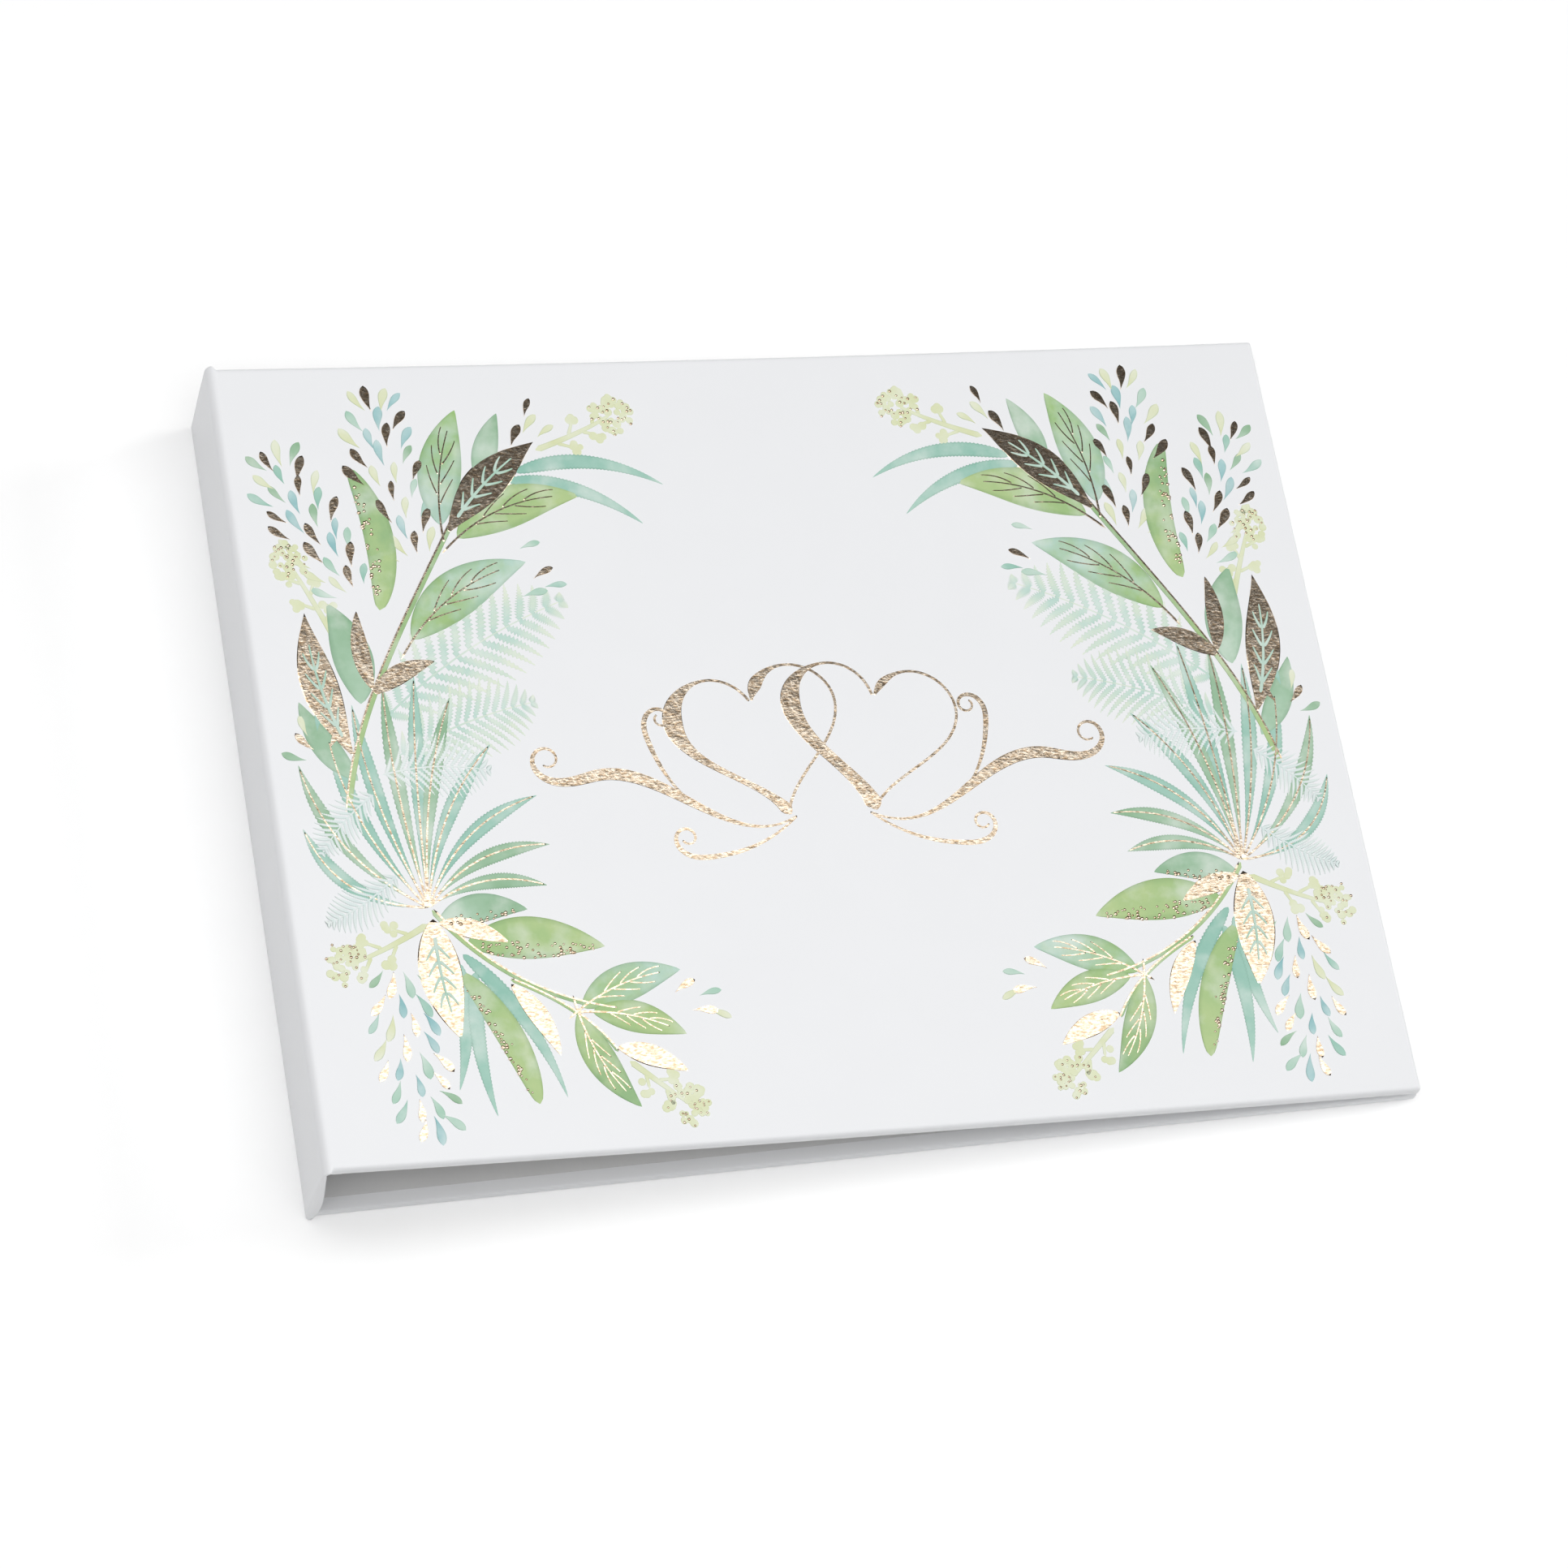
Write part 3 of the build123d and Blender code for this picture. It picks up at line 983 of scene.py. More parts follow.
@dataclass
class Layer:
    """Shapes of one kind, gathered into one piece of thin closed plates.

    Each plate's rim dips just under the paper, and each new plate lies a micron higher. Places
    and heights are millimetres: the level above the paper, and what is below it negative.
    """

    name: str
    finish: Finish
    level: float
    rim: tuple[float, ...] = (0, 0.03, 0.5, 0.97, 1)
    below: float = -0.01
    lift: float = 0.001
    points: list[np.ndarray] = field(default_factory=list)
    places: list[np.ndarray] = field(default_factory=list)
    washes: list[np.ndarray] = field(default_factory=list)
    quads: list[np.ndarray] = field(default_factory=list)
    triangles: list[np.ndarray] = field(default_factory=list)
    count: int = 0

    def add(
        self, points: np.ndarray, places: np.ndarray, quads: np.ndarray, triangles: np.ndarray,
        wash: Wash | None,
    ) -> None:
        """Add one group of points and faces, with one wash for all of it.

        Args:
            points: across, up and height of each point.
            places: share along and across the shape at each point.
            quads: four point numbers for each quad.
            triangles: three point numbers for each triangle.
            wash: its watercolour, if it is printed.
        """
        codes = (wash or Wash.SAGE).value
        self.washes.append(np.tile([colour(code) for code in codes], (len(points), 1, 1)))
        self.points.append(points)
        self.places.append(places)
        self.quads.append(quads + self.count)
        self.triangles.append(triangles + self.count)
        self.count += len(points)

    def band(
        self, path: np.ndarray, left: np.ndarray, right: np.ndarray, wash: Wash | None = None
    ) -> None:
        """Add a strip between two offsets to the left of a path, pointed at both ends.

        Args:
            path: middle line in millimetres, one row for each point.
            left: offset of the strip's left edge at each point.
            right: offset of its right edge.
            wash: its watercolour, if it is printed.
        """
        self.level += self.lift
        shares = np.array(self.rim)
        offsets = right[:, None] + (left - right)[:, None] * shares
        flat = path[:, None] + left_of(path)[:, None] * offsets[..., None]
        heights = np.where((shares > 0) & (shares < 1), self.level, self.below)
        heights = np.broadcast_to(heights[:, None], (*offsets.shape, 1))
        grid = np.concatenate([flat, heights], axis=-1)
        along = np.linspace(0, 1, len(path))
        places = np.stack(np.broadcast_arrays(along[:, None], shares), axis=-1)
        poles = grid[[0, -1], 2]
        poles[:, 2] = self.below
        body = grid[1:-1].reshape(-1, 3)
        index = np.arange(len(body)).reshape(-1, len(shares))
        start, end = len(body), len(body) + 1
        quads = np.concatenate([
            grid_quads(index),
            np.stack([index[:-1, -1], index[1:, -1], index[1:, 0], index[:-1, 0]], axis=1),
        ])
        first, last = np.append(index[0], index[0, 0]), np.append(index[-1], index[-1, 0])
        triangles = np.concatenate([
            np.stack([np.full(len(shares), start), first[:-1], first[1:]], axis=1),
            np.stack([np.full(len(shares), end), last[1:], last[:-1]], axis=1),
        ])
        body_places = np.concatenate([places[1:-1].reshape(-1, 2), [[0, 0.5], [1, 0.5]]])
        self.add(np.concatenate([body, poles]), body_places, quads, triangles, wash)

    def leaf(
        self, leaf: Leaf, wash: Wash | None = None, rows: int = 26, teeth: float = 0.0
    ) -> None:
        """Add a whole leaf, with saw teeth of a share of its width along both edges.

        Args:
            leaf: the leaf.
            wash: its watercolour, if it is printed.
            rows: points along it.
            teeth: depth of the teeth.
        """
        share = np.linspace(0, 1, rows)
        saw = 1 - teeth * (np.arange(rows) % 2)
        half = leaf.half(share) * saw
        self.band(leaf.centre(share), half, -half, wash)

    def line(self, path: np.ndarray, start: float, end: float, wash: Wash | None = None) -> None:
        """Add a line that tapers from one half width to another."""
        half = np.linspace(start, end, len(path))
        self.band(path, half, -half, wash)

    def dots(self, centres: np.ndarray, radii: np.ndarray, wash: Wash | None = None) -> None:
        """Add round dots, each a shallow dome on a ring, with a lift of its own.

        Args:
            centres: one row for each dot.
            radii: one for each dot.
            wash: their watercolour, if they are printed.
        """
        sides = 10
        ring = unit(np.arange(sides) * 2 * np.pi / sides)
        count = len(centres)
        tops = self.level + self.lift * np.arange(1, count + 1)
        dome = 0.0 if wash else 0.4
        levels = (
            (1.0, self.below + 0 * tops), (0.86, tops + dome * 0.4 * radii),
            (0.5, tops + dome * radii),
        )
        points = [
            np.concatenate([
                centres[:, None] + ring * (size * radii)[:, None, None],
                np.broadcast_to(height[:, None, None], (count, sides, 1)),
            ], axis=-1)
            for size, height in levels
        ]
        middle = np.concatenate([centres, (tops + dome * 1.15 * radii)[:, None]], axis=1)[:, None]
        under = np.concatenate([centres, np.full((count, 1), self.below)], axis=1)[:, None]
        points = np.concatenate([*points, middle, under], axis=1)
        places = np.full((count, points.shape[1], 2), 0.5)
        base = np.arange(count)[:, None, None] * points.shape[1]
        here = np.arange(sides)
        after = (here + 1) % sides
        quads = np.concatenate([
            np.stack([here, after, after + sides, here + sides], axis=1),
            np.stack([here + sides, after + sides, after + 2 * sides, here + 2 * sides], axis=1),
        ])
        triangles = np.concatenate([
            np.stack([here + 2 * sides, after + 2 * sides, np.full(sides, 3 * sides)], axis=1),
            np.stack([after, here, np.full(sides, 3 * sides + 1)], axis=1),
        ])
        self.add(
            points.reshape(-1, 3), places.reshape(-1, 2), (quads + base).reshape(-1, 4),
            (triangles + base).reshape(-1, 3), wash,
        )

    def build(self, case: Case, mirror_at: float | None = None) -> bpy.types.Object:
        """Make the piece on the front cover, with a mirrored twin of every shape if asked.

        Args:
            case: the case whose front cover is printed.
            mirror_at: the mirror line's distance in millimetres.

        Returns:
            The piece.
        """
        points, places = np.concatenate(self.points), np.concatenate(self.places)
        washes = np.concatenate(self.washes)
        quads, triangles = np.concatenate(self.quads), np.concatenate(self.triangles)
        if mirror_at is not None:
            twin = points * [-1, 1, 1] + [2 * mirror_at, 0, 0]
            quads = np.concatenate([quads, quads[:, ::-1] + self.count])
            triangles = np.concatenate([triangles, triangles[:, ::-1] + self.count])
            points, places = np.concatenate([points, twin]), np.concatenate([places, places])
            washes = np.concatenate([washes, washes])
        vertices = case.print_point(*(points.T * MM))
        faces = quads.tolist() + triangles.tolist()
        piece = mesh_object(self.name, vertices, faces, self.finish, smooth=False)
        mesh = piece.data
        if self.finish is Finish.PRINT:
            for place, attribute in enumerate(WASH_ATTRIBUTES):
                layer = mesh.attributes.new(attribute, "FLOAT_COLOR", "POINT")
                layer.data.foreach_set("color", washes[:, place].ravel())
            corners = np.empty(len(mesh.loops), np.int32)
            mesh.loops.foreach_get("vertex_index", corners)
            uv = mesh.uv_layers.new(name=WASH_UV).uv
            uv.foreach_set("vector", places[corners].ravel())
        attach(piece, "front_cover")
        return piece


@dataclass
class Garland:
    """Leaves, ferns, sprigs and umbels along the spine side of the cover, and their mirror image.

    Places are millimetres from the spine and from the tail edge.
    """

    case: Case
    mirror_at: float = 118.5
    vein: float = 0.17

    def __post_init__(self) -> None:
        """Set out the empty layers, lowest first."""
        self.random = np.random.default_rng(11)
        self.ferns = Layer("print_ferns", Finish.PRINT, 0.008)
        self.umbels = Layer("print_umbels", Finish.PRINT, 0.040)
        self.blades = Layer("print_blades", Finish.PRINT, 0.060)
        self.leaves = Layer("print_leaves", Finish.PRINT, 0.090)
        self.drops = Layer("print_drops", Finish.PRINT, 0.050)
        self.foil_leaves = Layer("foil_leaves", Finish.FOIL, 0.115)
        self.veins = Layer("print_veins", Finish.PRINT, 0.200, below=0.05)
        self.foil_lines = Layer("foil_lines", Finish.FOIL, 0.125)
        self.foil_dots = Layer("foil_dots", Finish.FOIL, 0.110)

    def veined_leaf(self, leaf: Leaf, wash: Wash, pairs: int = 3) -> None:
        """A broad printed leaf with a foil midrib and curved foil side veins.

        Args:
            leaf: the leaf.
            wash: its watercolour.
            pairs: number of pairs of side veins.
        """
        self.leaves.leaf(leaf, wash, rows=34)
        midrib = leaf.centre(np.linspace(-0.16, 0.84, 24))
        self.foil_lines.line(midrib, self.vein * 1.4, self.vein * 0.7)
        for pair in range(pairs):
            for side in (-1, 1):
                start = 0.20 + 0.17 * pair + 0.04 * side
                share = np.linspace(start, start + 0.26, 12)
                out = side * 0.66 * np.linspace(0, 1, 12) ** 0.8
                self.foil_lines.line(leaf.at(share, out), self.vein, self.vein * 0.6)

    def dotted_leaf(self, leaf: Leaf, wash: Wash, side: int, count: int = 46) -> None:
        """A printed leaf with foil dots scattered thickest along one edge.

        Args:
            leaf: the leaf.
            wash: its watercolour.
            side: 1 for the left edge or -1 for the right.
            count: number of dots.
        """
        self.leaves.leaf(leaf, wash, rows=34)
        share = np.sort(self.random.uniform(0.10, 0.92, count))
        out = side * (0.94 - 0.75 * self.random.random(count) ** 1.6)
        self.foil_dots.dots(leaf.at(share, out), self.random.uniform(0.24, 0.46, count))

    def foil_leaf(self, leaf: Leaf, veined: bool = False) -> None:
        """A foil leaf, whole or with a printed midrib and side veins that curve to the tip.

        Args:
            leaf: the leaf.
            veined: whether it has veins.
        """
        self.foil_leaves.leaf(leaf, rows=34)
        if not veined:
            return
        self.veins.line(leaf.centre(np.linspace(0.14, 0.80, 24)), 0.42, 0.16, Wash.MINT)
        for pair in range(4):
            for side in (-1, 1):
                share = np.linspace(0, 0.13, 10) + 0.22 + 0.13 * pair
                out = side * 0.62 * np.linspace(0, 1, 10) ** 0.8
                self.veins.line(leaf.at(share, out), 0.38, 0.12, Wash.MINT)

    def stem(self, controls: list[tuple[float, float]], start: float, end: float) -> None:
        """A printed stem that tapers between two half widths, with a foil line beside it.

        Args:
            controls: the stem's Bezier controls.
            start: half width at its start.
            end: half width at its end.
        """
        path = bezier(controls, np.linspace(0, 1, 40))
        self.leaves.line(path, start, end, Wash.GRASS)
        beside = path + left_of(path) * start * 0.7
        self.foil_lines.line(beside, self.vein * 1.2, self.vein * 1.2)

    def drop(
        self, base: tuple[float, float], angle: float, length: float, foiled: bool
    ) -> None:
        """One teardrop, in foil or in one of the cool washes.

        Args:
            base: its pointed end.
            angle: its direction, from across towards up.
            length: its length.
            foiled: whether it is foil.
        """
        tip = tuple(np.add(base, length * unit(angle)))
        drop = Leaf(base, tip, length * self.random.uniform(0.28, 0.35), 0.05, Outline.DROP)
        if foiled:
            self.foil_leaves.leaf(drop, rows=14)
        else:
            choice = self.random.choice([Wash.POND, Wash.TEAL, Wash.MINT, Wash.SAGE, Wash.PALE])
            self.drops.leaf(drop, choice, rows=14)

    def loose_drops(self, longest: float, *places: tuple[tuple[float, float], float]) -> None:
        """Single teardrops, each given by its base and angle, with every third one in foil.

        Args:
            longest: the greatest length.
            places: base and angle of each.
        """
        for number, (base, angle) in enumerate(places):
            self.drop(base, angle, self.random.uniform(4.4, longest), number % 3 == 0)

    def long_blades(self, width: float, *places: tuple) -> None:
        """Long saw-edged printed blades, each given by its base, tip and bend.

        Args:
            width: their widest width.
            places: base, tip and bend of each.
        """
        for base, tip, bend in places:
            blade = Leaf(base, tip, width, bend, Outline.BLADE)
            self.blades.leaf(blade, Wash.TEAL, rows=80, teeth=0.14)

    def sprig(self, axis: Leaf, tiers: int = 8) -> None:
        """Teardrops in staggered tiers along an unseen axis, spreading away from it.

        Args:
            axis: an unseen leaf whose outline the teardrops fill.
            tiers: number of rows.
        """
        shares = np.linspace(0.03, 0.97, tiers)
        path, half = axis.centre(shares), axis.half(np.linspace(0.12, 0.93, tiers))
        heading = headings(path)
        leftwards = left_of(path)
        for tier in range(tiers):
            sides = (-1.0, 0.0, 1.0) if tier % 2 else (-1.25, -0.45, 0.45, 1.25)
            for column, side in enumerate(sides):
                place = path[tier] + leftwards[tier] * side * half[tier] * 0.72
                place = place + self.random.uniform(-0.4, 0.4, 2)
                angle = heading[tier] + side * 0.5 + self.random.uniform(-0.15, 0.15)
                foiled = (tier + column) % 3 == 1
                self.drop(tuple(place), angle, self.random.uniform(4.8, 6.6), foiled)

    def umbel(
        self, base: tuple[float, float], top: tuple[float, float], spread: float, count: int = 40
    ) -> None:
        """A pale branching stem with a round head of soft blobs and fine foil dots.

        Args:
            base: the foot of the stem.
            top: the middle of the head.
            spread: radius of the head.
            count: number of blobs in the head.
        """
        top = np.array(top, float)
        middle = (np.array(base) * 0.4 + top * 0.6) + [0.8, -0.8]
        trunk = bezier([base, middle, top], np.linspace(0, 1, 20))
        self.umbels.line(trunk, 0.75, 0.35, Wash.PALE)
        for place in (4, 7, 10, 13):
            angle = np.arctan2(*(top - trunk[place])[::-1]) + (1 if place % 2 else -1) * 0.75
            tip = trunk[place] + self.random.uniform(3.2, 5.0) * unit(angle)
            self.umbels.line(np.linspace(trunk[place], tip, 6), 0.45, 0.3, Wash.PALE)
            blobs = tip + self.random.normal(0, 0.7, (5, 2))
            self.umbels.dots(blobs, self.random.uniform(0.7, 1.1, 5), Wash.PALE)
        angles = self.random.uniform(0, 2 * np.pi, count)
        reach = spread * np.sqrt(self.random.random(count))
        blobs = top + reach[:, None] * unit(angles)
        self.umbels.dots(blobs, self.random.uniform(0.55, 1.05, count), Wash.PALE)
        rim = blobs[:count * 2 // 3]
        dots = top + 1.06 * (rim - top) + self.random.normal(0, 0.3, rim.shape)
        self.foil_dots.dots(dots, self.random.uniform(0.20, 0.38, len(dots)))

    def fern(self, rachis: Leaf, wash: Wash, pairs: int = 15) -> None:
        """A fern frond: a thin rachis with comb-toothed leaflets that shorten to the tip.

        Args:
            rachis: an unseen leaf whose outline the leaflets fill.
            wash: its watercolour.
            pairs: number of pairs of leaflets.
        """
        shares = np.linspace(0.04, 0.97, pairs)
        path, half = rachis.centre(shares), rachis.half(0.06 + 0.92 * shares)
        heading = headings(path)
        self.ferns.line(rachis.centre(np.linspace(0, 1, 24)), 0.25, 0.1, wash)
        width = 0.74 * np.hypot(*np.subtract(rachis.tip, rachis.base)) / pairs
        for place in range(pairs):
            for side in (-1, 1):
                angle = heading[place] + side * 1.0
                tip = path[place] + half[place] * unit(angle)
                leaflet = Leaf(tuple(path[place]), tuple(tip), width, -0.05 * side, Outline.BLADE)
                self.ferns.leaf(leaflet, wash, rows=28, teeth=0.6)

    def fan(self) -> None:
        """Eleven narrow saw-edged blades that arch from the knot, each with a foil midrib."""
        knot = (29.5, 54.5)
        tips = (
            (6, 73, 0.17), (7, 87, 0.11), (14, 93, 0.07), (20, 100, 0.04), (27, 104, 0.02),
            (34, 106, 0.01), (41, 101, 0.04), (48, 90, 0.07), (56, 78, 0.11), (57, 67, 0.12),
            (55, 58, 0.12),
        )
        for across, up, bend in tips:
            blade = Leaf(knot, (across, up), 3.7, bend, Outline.SWORD)
            wash = Wash.SAGE if across % 2 else Wash.TEAL
            self.blades.leaf(blade, wash, rows=90, teeth=0.14)
            midrib = blade.at(np.linspace(0.0, 0.99, 40), np.full(40, 0.15))
            self.foil_lines.line(midrib, 0.24, 0.15)

    def grow_back(self) -> None:
        """The faint layers: ferns and umbels."""
        self.fern(Leaf((26, 96), (69, 122), 27, 0.05), Wash.FERN)
        self.fern(Leaf((28, 88), (59, 99), 22, 0.04), Wash.FERN)
        self.fern(Leaf((24, 84), (47, 84), 18, 0.06), Wash.MIST)
        self.fern(Leaf((22, 80), (9, 67), 12, -0.05), Wash.MIST)
        self.fern(Leaf((24, 62), (8, 52), 12, 0.05), Wash.MIST)
        self.umbel((19, 114), (11, 133), 4.2)
        self.umbel((68, 157), (86, 165), 4.6)
        self.umbel((29, 51), (11, 43), 4.4)
        self.umbel((66, 19), (77, 9), 4.6)

    def grow_upper(self) -> None:
        """The upper branch."""
        self.long_blades(3.7, ((63, 152), (95, 148), 0.12), ((61, 150), (89, 139), 0.10))
        self.leaves.leaf(Leaf((55, 149), (61, 166), 5.5, 0.04), Wash.SAGE)
        self.leaves.leaf(Leaf((22, 100), (18, 123), 8.6, -0.07), Wash.SAGE)
        self.leaves.leaf(Leaf((19, 83), (9, 101), 5.8, 0.06), Wash.SAGE)
        self.dotted_leaf(Leaf((29, 121), (27, 154), 6.4, -0.10, Outline.STRAP), Wash.GRASS, 1)
        self.stem([(16, 76), (20, 98), (34, 118), (52, 148)], 0.75, 0.4)
        self.veined_leaf(Leaf((45, 140), (52, 167), 9.4, 0.06), Wash.DAWN)
        self.veined_leaf(Leaf((48, 137), (76, 146), 9.6, 0.10), Wash.LIME)
        self.veined_leaf(Leaf((35, 114), (62, 131), 10.4, 0.09), Wash.DUSK)
        self.foil_leaf(Leaf((46, 138), (68, 159), 8.6, 0.05, Outline.LANCE), veined=True)
        self.foil_leaf(Leaf((19, 88), (13, 121), 8.0, 0.06, Outline.LANCE), veined=True)
        self.foil_leaf(Leaf((25, 103), (24, 121), 4.0, 0.05))
        self.foil_leaf(Leaf((25, 102), (39, 109), 4.4, 0.08))
        self.sprig(Leaf((24, 125), (12, 155), 11.5, 0.03, Outline.STRAP), tiers=9)
        self.sprig(Leaf((38.5, 132), (35, 168), 11.5, 0.04, Outline.STRAP), tiers=9)
        self.loose_drops(
            6.0,
            ((11, 90), 2.3), ((10, 93), 1.8), ((12, 94), 1.3), ((14, 90), 1.0), ((9, 88), 2.8),
            ((61, 134), 0.3), ((63, 127), 0.5), ((60, 123), 0.2), ((65, 125), 0.1),
            ((63, 158), 1.1), ((66, 161), 0.9), ((69, 160), 0.6), ((67, 165), 1.2),
        )

    def grow_lower(self) -> None:
        """The lower branch."""
        self.long_blades(
            3.6, ((34, 42), (30, 15), 0.05), ((37, 40), (37, 9), -0.05), ((35, 44), (52, 12), 0.07)
        )
        self.dotted_leaf(Leaf((31, 51), (50, 53), 6.4, 0.10), Wash.SAGE, -1, 26)
        self.dotted_leaf(Leaf((36, 46), (65, 44), 9.4, 0.06), Wash.LIME, -1, 60)
        self.dotted_leaf(Leaf((34, 40), (46, 11), 6.0, 0.07, Outline.STRAP), Wash.LIME, -1, 46)
        self.stem([(30, 54), (38, 42), (50, 33), (66, 30)], 0.6, 0.35)
        self.stem([(44, 38), (54, 33), (60, 28), (64, 21)], 0.4, 0.3)
        self.veined_leaf(Leaf((58, 31), (80, 38), 8.0, 0.07), Wash.DUSK)
        self.veined_leaf(Leaf((60, 30), (79, 24), 7.0, 0.06), Wash.LIME)
        self.veined_leaf(Leaf((57, 30), (67, 9), 6.8, -0.07), Wash.GRASS)
        self.foil_leaf(Leaf((30, 52), (32, 26), 9.0, -0.04), veined=True)
        self.foil_leaf(Leaf((31, 51), (45, 46), 4.4, 0.05))
        self.foil_leaf(Leaf((44, 37), (52, 21), 4.4, 0.06))
        self.foil_leaf(Leaf((64, 22), (78, 16), 4.8, 0.05))
        self.sprig(Leaf((21.5, 42), (24, 9), 11, -0.06, Outline.STRAP), tiers=8)
        self.loose_drops(
            5.8, ((78, 33), 0.5), ((83, 32), 0.2), ((84, 29), -0.4), ((81, 29), -0.1)
        )

    def build(self) -> list[bpy.types.Object]:
        """Grow everything and make one piece for each layer."""
        self.grow_back()
        self.fan()
        self.grow_upper()
        self.grow_lower()
        layers = (
            self.ferns, self.umbels, self.drops, self.blades, self.leaves,
            self.foil_leaves, self.veins, self.foil_lines, self.foil_dots,
        )
        return [layer.build(self.case, self.mirror_at) for layer in layers]


@dataclass(frozen=True)
class Swash:
    """A curved stroke that ends in a curl.

    The offsets are the curve's Bezier controls from its start, outwards and up. The curl has a
    length and a number of turns. The stroke's broadest part is a share of the pen's.
    """

    offsets: tuple[tuple[float, float], ...]
    curl: float
    turns: float
    share: float
    points: int = 60


@dataclass
class Flourish:
    """A pen-drawn foil ornament: two linked open hearts with a curled swash on each side.

    The pen is broad on strokes towards the tail and thin on the others.
    """

    case: Case
    middle: tuple[float, float] = (119.0, 90.0)
    heart: float = 1.14
    spacing: float = 25.0
    thin: float = 0.30
    broad: float = 2.2

    def pen(self, layer: Layer, path: np.ndarray) -> None:
        """Draw a path with the pen.

        The half width grows from thin to broad with a power of the stroke's fall, and thins
        again at both ends.

        Args:
            layer: the layer to draw on.
            path: the stroke's middle line.
        """
        way = np.gradient(path, axis=0)
        fall = np.clip(-way[:, 1] / np.linalg.norm(way, axis=1), 0, 1)
        share = np.linspace(0, 1, len(path))
        ends = smooth_step(share / 0.12) * smooth_step((1 - share) / 0.12)
        half = self.thin + (self.broad - self.thin) * fall**2.4 * ends
        layer.band(path, half, -half)

    def heart_side(self, offset: float, lean: float, start: float, end: float) -> np.ndarray:
        """Part of a heart, between two angles round it from the cleft.

        Across is sixteen sine cubed. Up is 13, -5, -2 and -1 times the cosines of the angle
        and of two, three and four times it.

        Args:
            offset: how far across from the ornament's middle the heart stands.
            lean: how far it is turned, to the left.
            start: angle where the part starts.
            end: angle where it ends.

        Returns:
            The part's points.
        """
        turn = np.linspace(start, end, 150)
        across = 16 * np.sin(turn) ** 3
        up = 13 * np.cos(turn) - 5 * np.cos(2 * turn) - 2 * np.cos(3 * turn) - np.cos(4 * turn)
        path = self.heart * np.stack([
            across * np.cos(lean) - up * np.sin(lean), across * np.sin(lean) + up * np.cos(lean),
        ], axis=1)
        return path + np.array(self.middle) + [offset, 0]

    def swash(self, layer: Layer, start: np.ndarray, side: int, shape: Swash) -> np.ndarray:
        """Draw a stroke whose width swells smoothly to its middle and thins to both ends.

        In the curl, the turn grows with the way along it to the power 2.2, so it tightens.

        Args:
            layer: the layer to draw on.
            start: where the stroke starts.
            side: 1 towards the fore-edge, or -1 towards the spine.
            shape: the stroke's shape.

        Returns:
            The points of the curve before its curl.
        """
        curve = bezier(start + np.array(shape.offsets) * [side, 1], np.linspace(0, 1, shape.points))
        share = np.linspace(0, 1, 90)
        heading = np.arctan2(*(curve[-1] - curve[-2])[::-1])
        steps = unit(heading + side * shape.turns * 2 * np.pi * share**2.2)
        curl = curve[-1] + np.cumsum(steps * shape.curl / len(share), axis=0)
        path = np.concatenate([curve, curl])
        swell = np.sin(np.pi * np.linspace(0, 1, len(path))) ** 2.5
        half = self.thin * 0.8 + (self.broad * shape.share - self.thin) * swell
        layer.band(path, half, -half)
        return curve

    def build(self) -> list[bpy.types.Object]:
        """Draw the ornament and make its piece."""
        layer = Layer("foil_flourish", Finish.FOIL, 0.06)
        x, y = self.middle
        for offset, lean in ((-self.spacing / 2, 0.16), (self.spacing / 2, -0.16)):
            self.pen(layer, self.heart_side(offset, lean, 2 * np.pi - 0.25, np.pi + 0.03))
            self.pen(layer, self.heart_side(offset, lean, np.pi - 0.03, 0.25))
        main = Swash(((0, 0), (16, -9), (27, 15), (43, 11)), 27, 1.15, 0.66, 130)
        branch = Swash(((0, 0), (5, 5), (7, 13)), 20, 1.2, 0.3)
        tail = Swash(((0, 0), (8, -7), (18, -8)), 22, 1.2, 0.3)
        for side in (-1, 1):
            joint = np.array([x + side * 8.0, y - 19.5])
            sweep = self.swash(layer, joint, side, main)
            self.swash(layer, sweep[len(sweep) // 2 + 1], side, branch)
            self.swash(layer, joint, side, tail)
        return [layer.build(self.case)]


# ---------------------------------------------------------------- mechanism and leaves

@dataclass
class RingMechanism:
    """Plate, blades, rings, levers and rivets of the ring mechanism, all plated or rolled steel."""

    nickel: tuple[str, ...] = ("ring_plate", "mounting_rivets", "tail_lever", "head_lever")
    blades: tuple[str, ...] = ("left_carrier", "right_carrier")
    ring_places: tuple[str, ...] = ("tail", "middle", "head")

    def build(self) -> None:
        """Dress the mechanism's CAD nodes."""
        rings = [f"{place}_ring_{side}" for place in self.ring_places for side in ("left", "right")]
        for node in (*self.nickel, *rings):
            dress(node, Finish.NICKEL)
        for node in self.blades:
            dress(node, Finish.BLADE)


@dataclass
class Leaves:
    """The title leaf and the ruled guest leaves."""

    guest_count: int = 7

    def build(self) -> None:
        """Dress the leaves' CAD nodes."""
        dress("title_leaf", Finish.TITLE_PAPER)
        for number in range(1, self.guest_count + 1):
            dress(f"guest_leaf_{number}", Finish.RULED)


# ---------------------------------------------------------------- studio

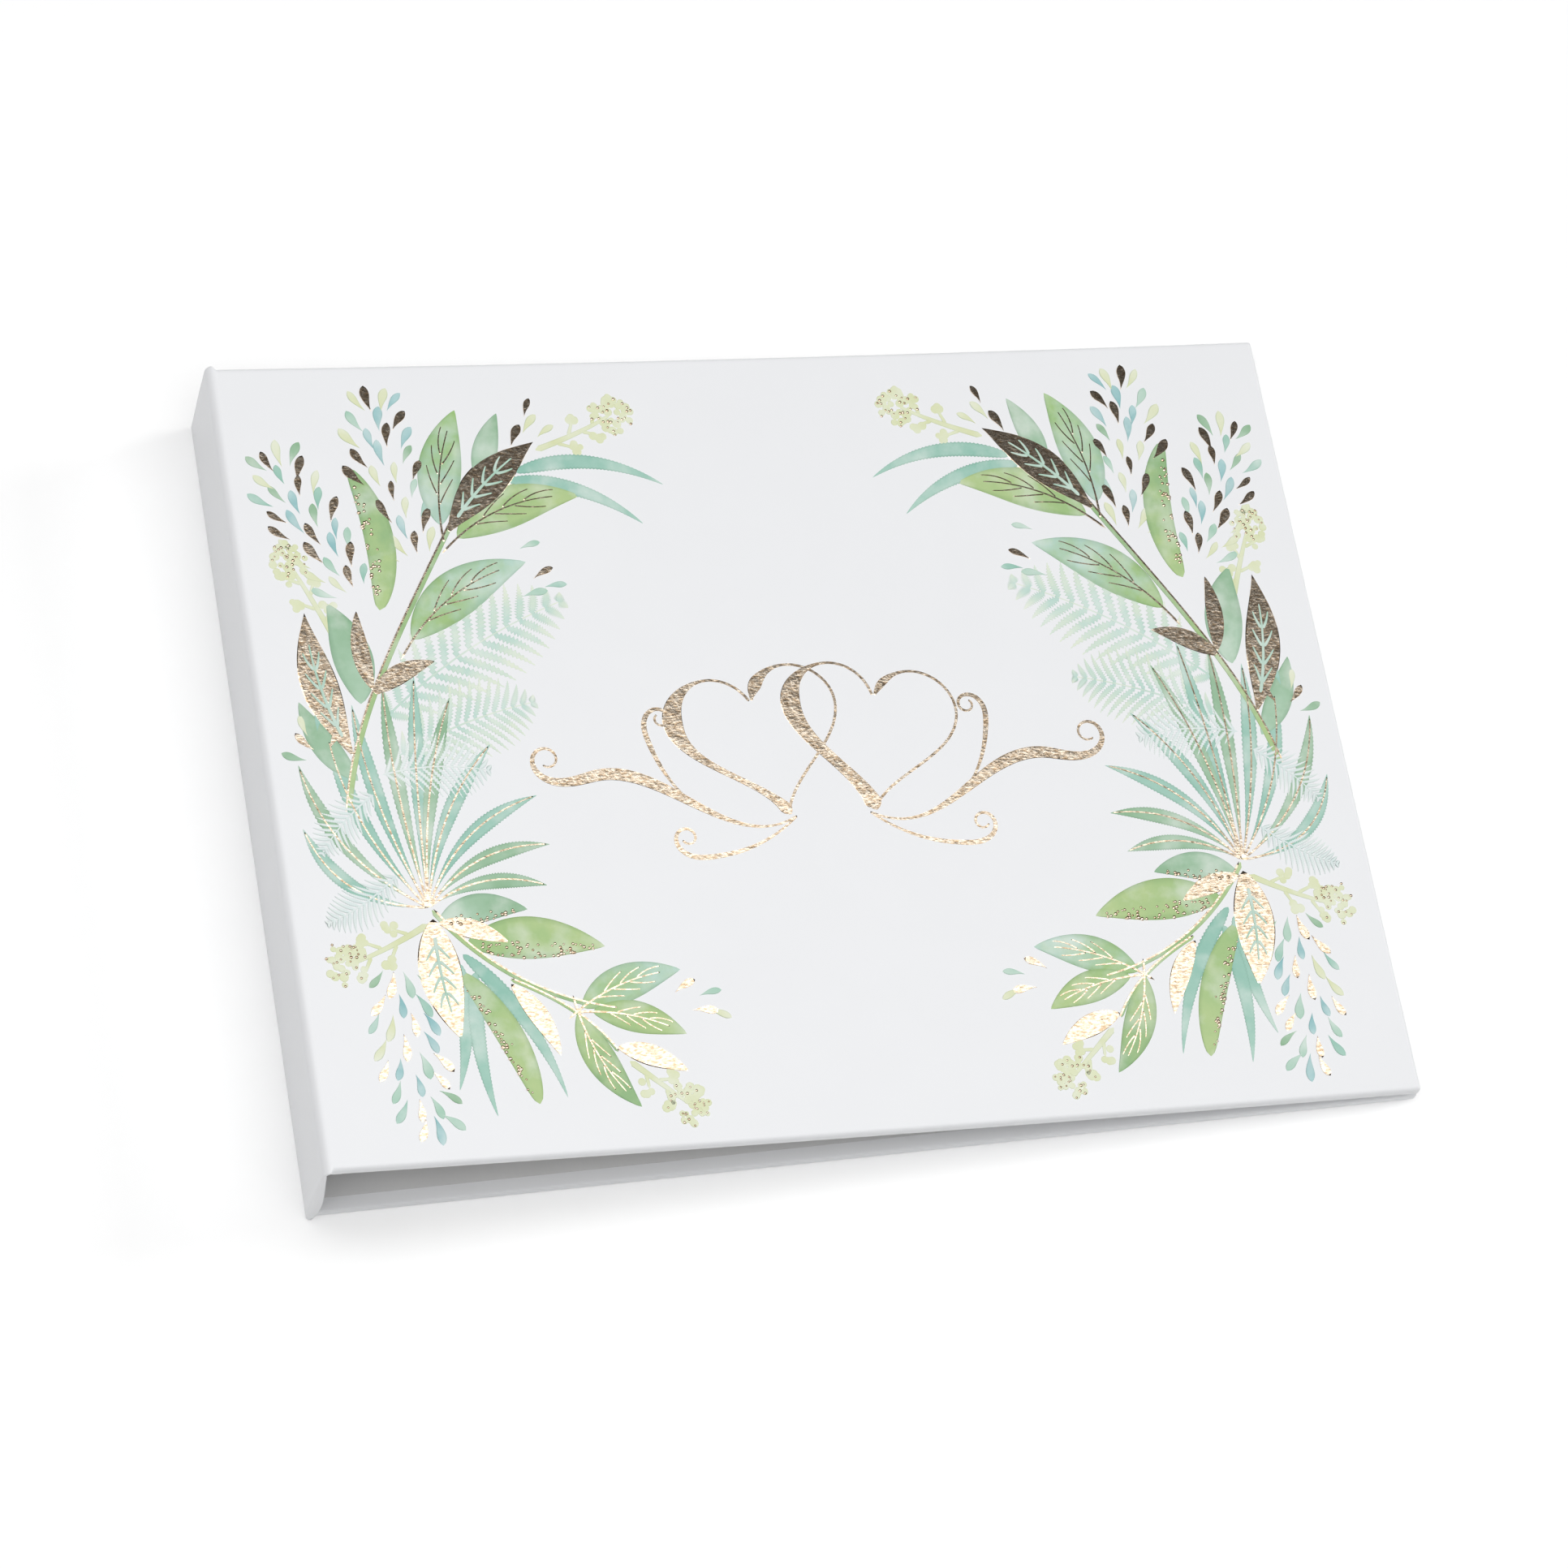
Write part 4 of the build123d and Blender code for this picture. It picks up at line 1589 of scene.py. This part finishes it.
@dataclass
class Studio:
    """Pale floor, one large softbox overhead, one weak fill, and the camera."""

    azimuth: float = np.radians(31.87)
    elevation: float = np.radians(64.18)
    roll: float = np.radians(24.1)
    distance: float = 1.118
    lens: float = 123.2
    sensor: float = 36.0
    aim: tuple[float, float, float] = (-7.95 * MM, -10.6 * MM, 15 * MM)
    floor_reach: float = 3.0
    floor_drop: float = 0.02 * MM
    floor_glow: float = 0.10
    ambient: float = 0.05

    @staticmethod
    def place(name: str, data: bpy.types.ID, matrix: Matrix | None = None) -> bpy.types.Object:
        """Put a camera, light or mesh in the scene, at a place given as a matrix.

        Args:
            name: the object's name.
            data: what it shows.
            matrix: its place, or None for the origin.

        Returns:
            The new object.
        """
        thing = bpy.data.objects.new(name, data)
        if matrix is not None:
            thing.matrix_world = matrix
        bpy.context.scene.collection.objects.link(thing)
        return thing

    def camera(self) -> None:
        """Aim the camera: look along the azimuth from +Y towards +X, down by the elevation."""
        forward = Vector((
            np.sin(self.azimuth) * np.cos(self.elevation),
            np.cos(self.azimuth) * np.cos(self.elevation),
            -np.sin(self.elevation),
        ))
        level = forward.cross(Vector((0, 0, 1))).normalized()
        upright = level.cross(forward)
        right = level * np.cos(self.roll) + upright * np.sin(self.roll)
        up = right.cross(forward)
        data = bpy.data.cameras.new("camera")
        data.lens = self.lens
        data.sensor_width = self.sensor
        turn = Matrix((right, up, -forward)).transposed().to_4x4()
        stand = Matrix.Translation(Vector(self.aim) - forward * self.distance)
        bpy.context.scene.camera = self.place("camera", data, stand @ turn)

    def softbox(
        self, name: str, stand: tuple, aim: tuple, size: tuple, power: float, turn: float = 0.0
    ) -> None:
        """Add a rectangular area light at a place, facing an aim point, turned in its plane.

        Args:
            name: the light's name.
            stand: where it stands.
            aim: the point that it faces.
            size: its width and height.
            power: in watts.
            turn: in radians.
        """
        data = bpy.data.lights.new(name, "AREA")
        data.shape = "RECTANGLE"
        data.size, data.size_y = size
        data.energy = power
        way = Vector(stand) - Vector(aim)
        facing = way.to_track_quat("Z", "Y").to_matrix().to_4x4() @ Matrix.Rotation(turn, 4, "Z")
        self.place(name, data, Matrix.Translation(stand) @ facing)

    def floor(self) -> None:
        """Add the plain white floor just under the book."""
        material, tree, shader = new_material("white_studio_floor")
        set_inputs(tree, shader, {
            "Base Color": colour("fdfdfd"), "Roughness": 0.9,
            "Emission Color": colour("ffffff"), "Emission Strength": self.floor_glow,
        })
        reach = self.floor_reach
        corners = [(-reach, -reach), (reach, -reach), (reach, reach), (-reach, reach)]
        mesh = bpy.data.meshes.new("studio_floor")
        mesh.from_pydata([(*corner, -self.floor_drop) for corner in corners], [], [[0, 1, 2, 3]])
        mesh.materials.append(material)
        plane = self.place("studio_floor", mesh)

    def build(self) -> None:
        """Set the stage."""
        bpy.context.scene.view_settings.view_transform = "Standard"
        world = bpy.data.worlds.new("studio")
        world.use_nodes = True
        tree = world.node_tree
        white = {"Color": (1.0, 1.0, 1.0, 1.0), "Strength": self.ambient}
        set_inputs(tree, tree.nodes["Background"], white)
        bpy.context.scene.world = world
        self.softbox(
            "overhead_softbox", stand=(-0.25, -0.13, 1.3), aim=(-0.25, -0.13, 0),
            size=(2.2, 1.64), power=23.6, turn=np.radians(-10),
        )
        self.softbox(
            "right_fill", stand=(1.5, 0.25, 0.85), aim=(0, 0, 0), size=(0.6, 0.6), power=7.2
        )
        self.floor()
        self.camera()


def main() -> None:
    """Build the stage and every sub-assembly, and log each piece."""
    logging.basicConfig(level=logging.INFO, format="%(message)s")
    Studio().build()
    case = Case()
    case.build()
    RingMechanism().build()
    Leaves().build()
    artwork = Garland(case).build() + Flourish(case).build()
    for piece in (*case.pieces, *artwork):
        log.info("%s: %d points", piece.name, len(piece.data.vertices))
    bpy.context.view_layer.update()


if __name__ == "__main__":
    main()
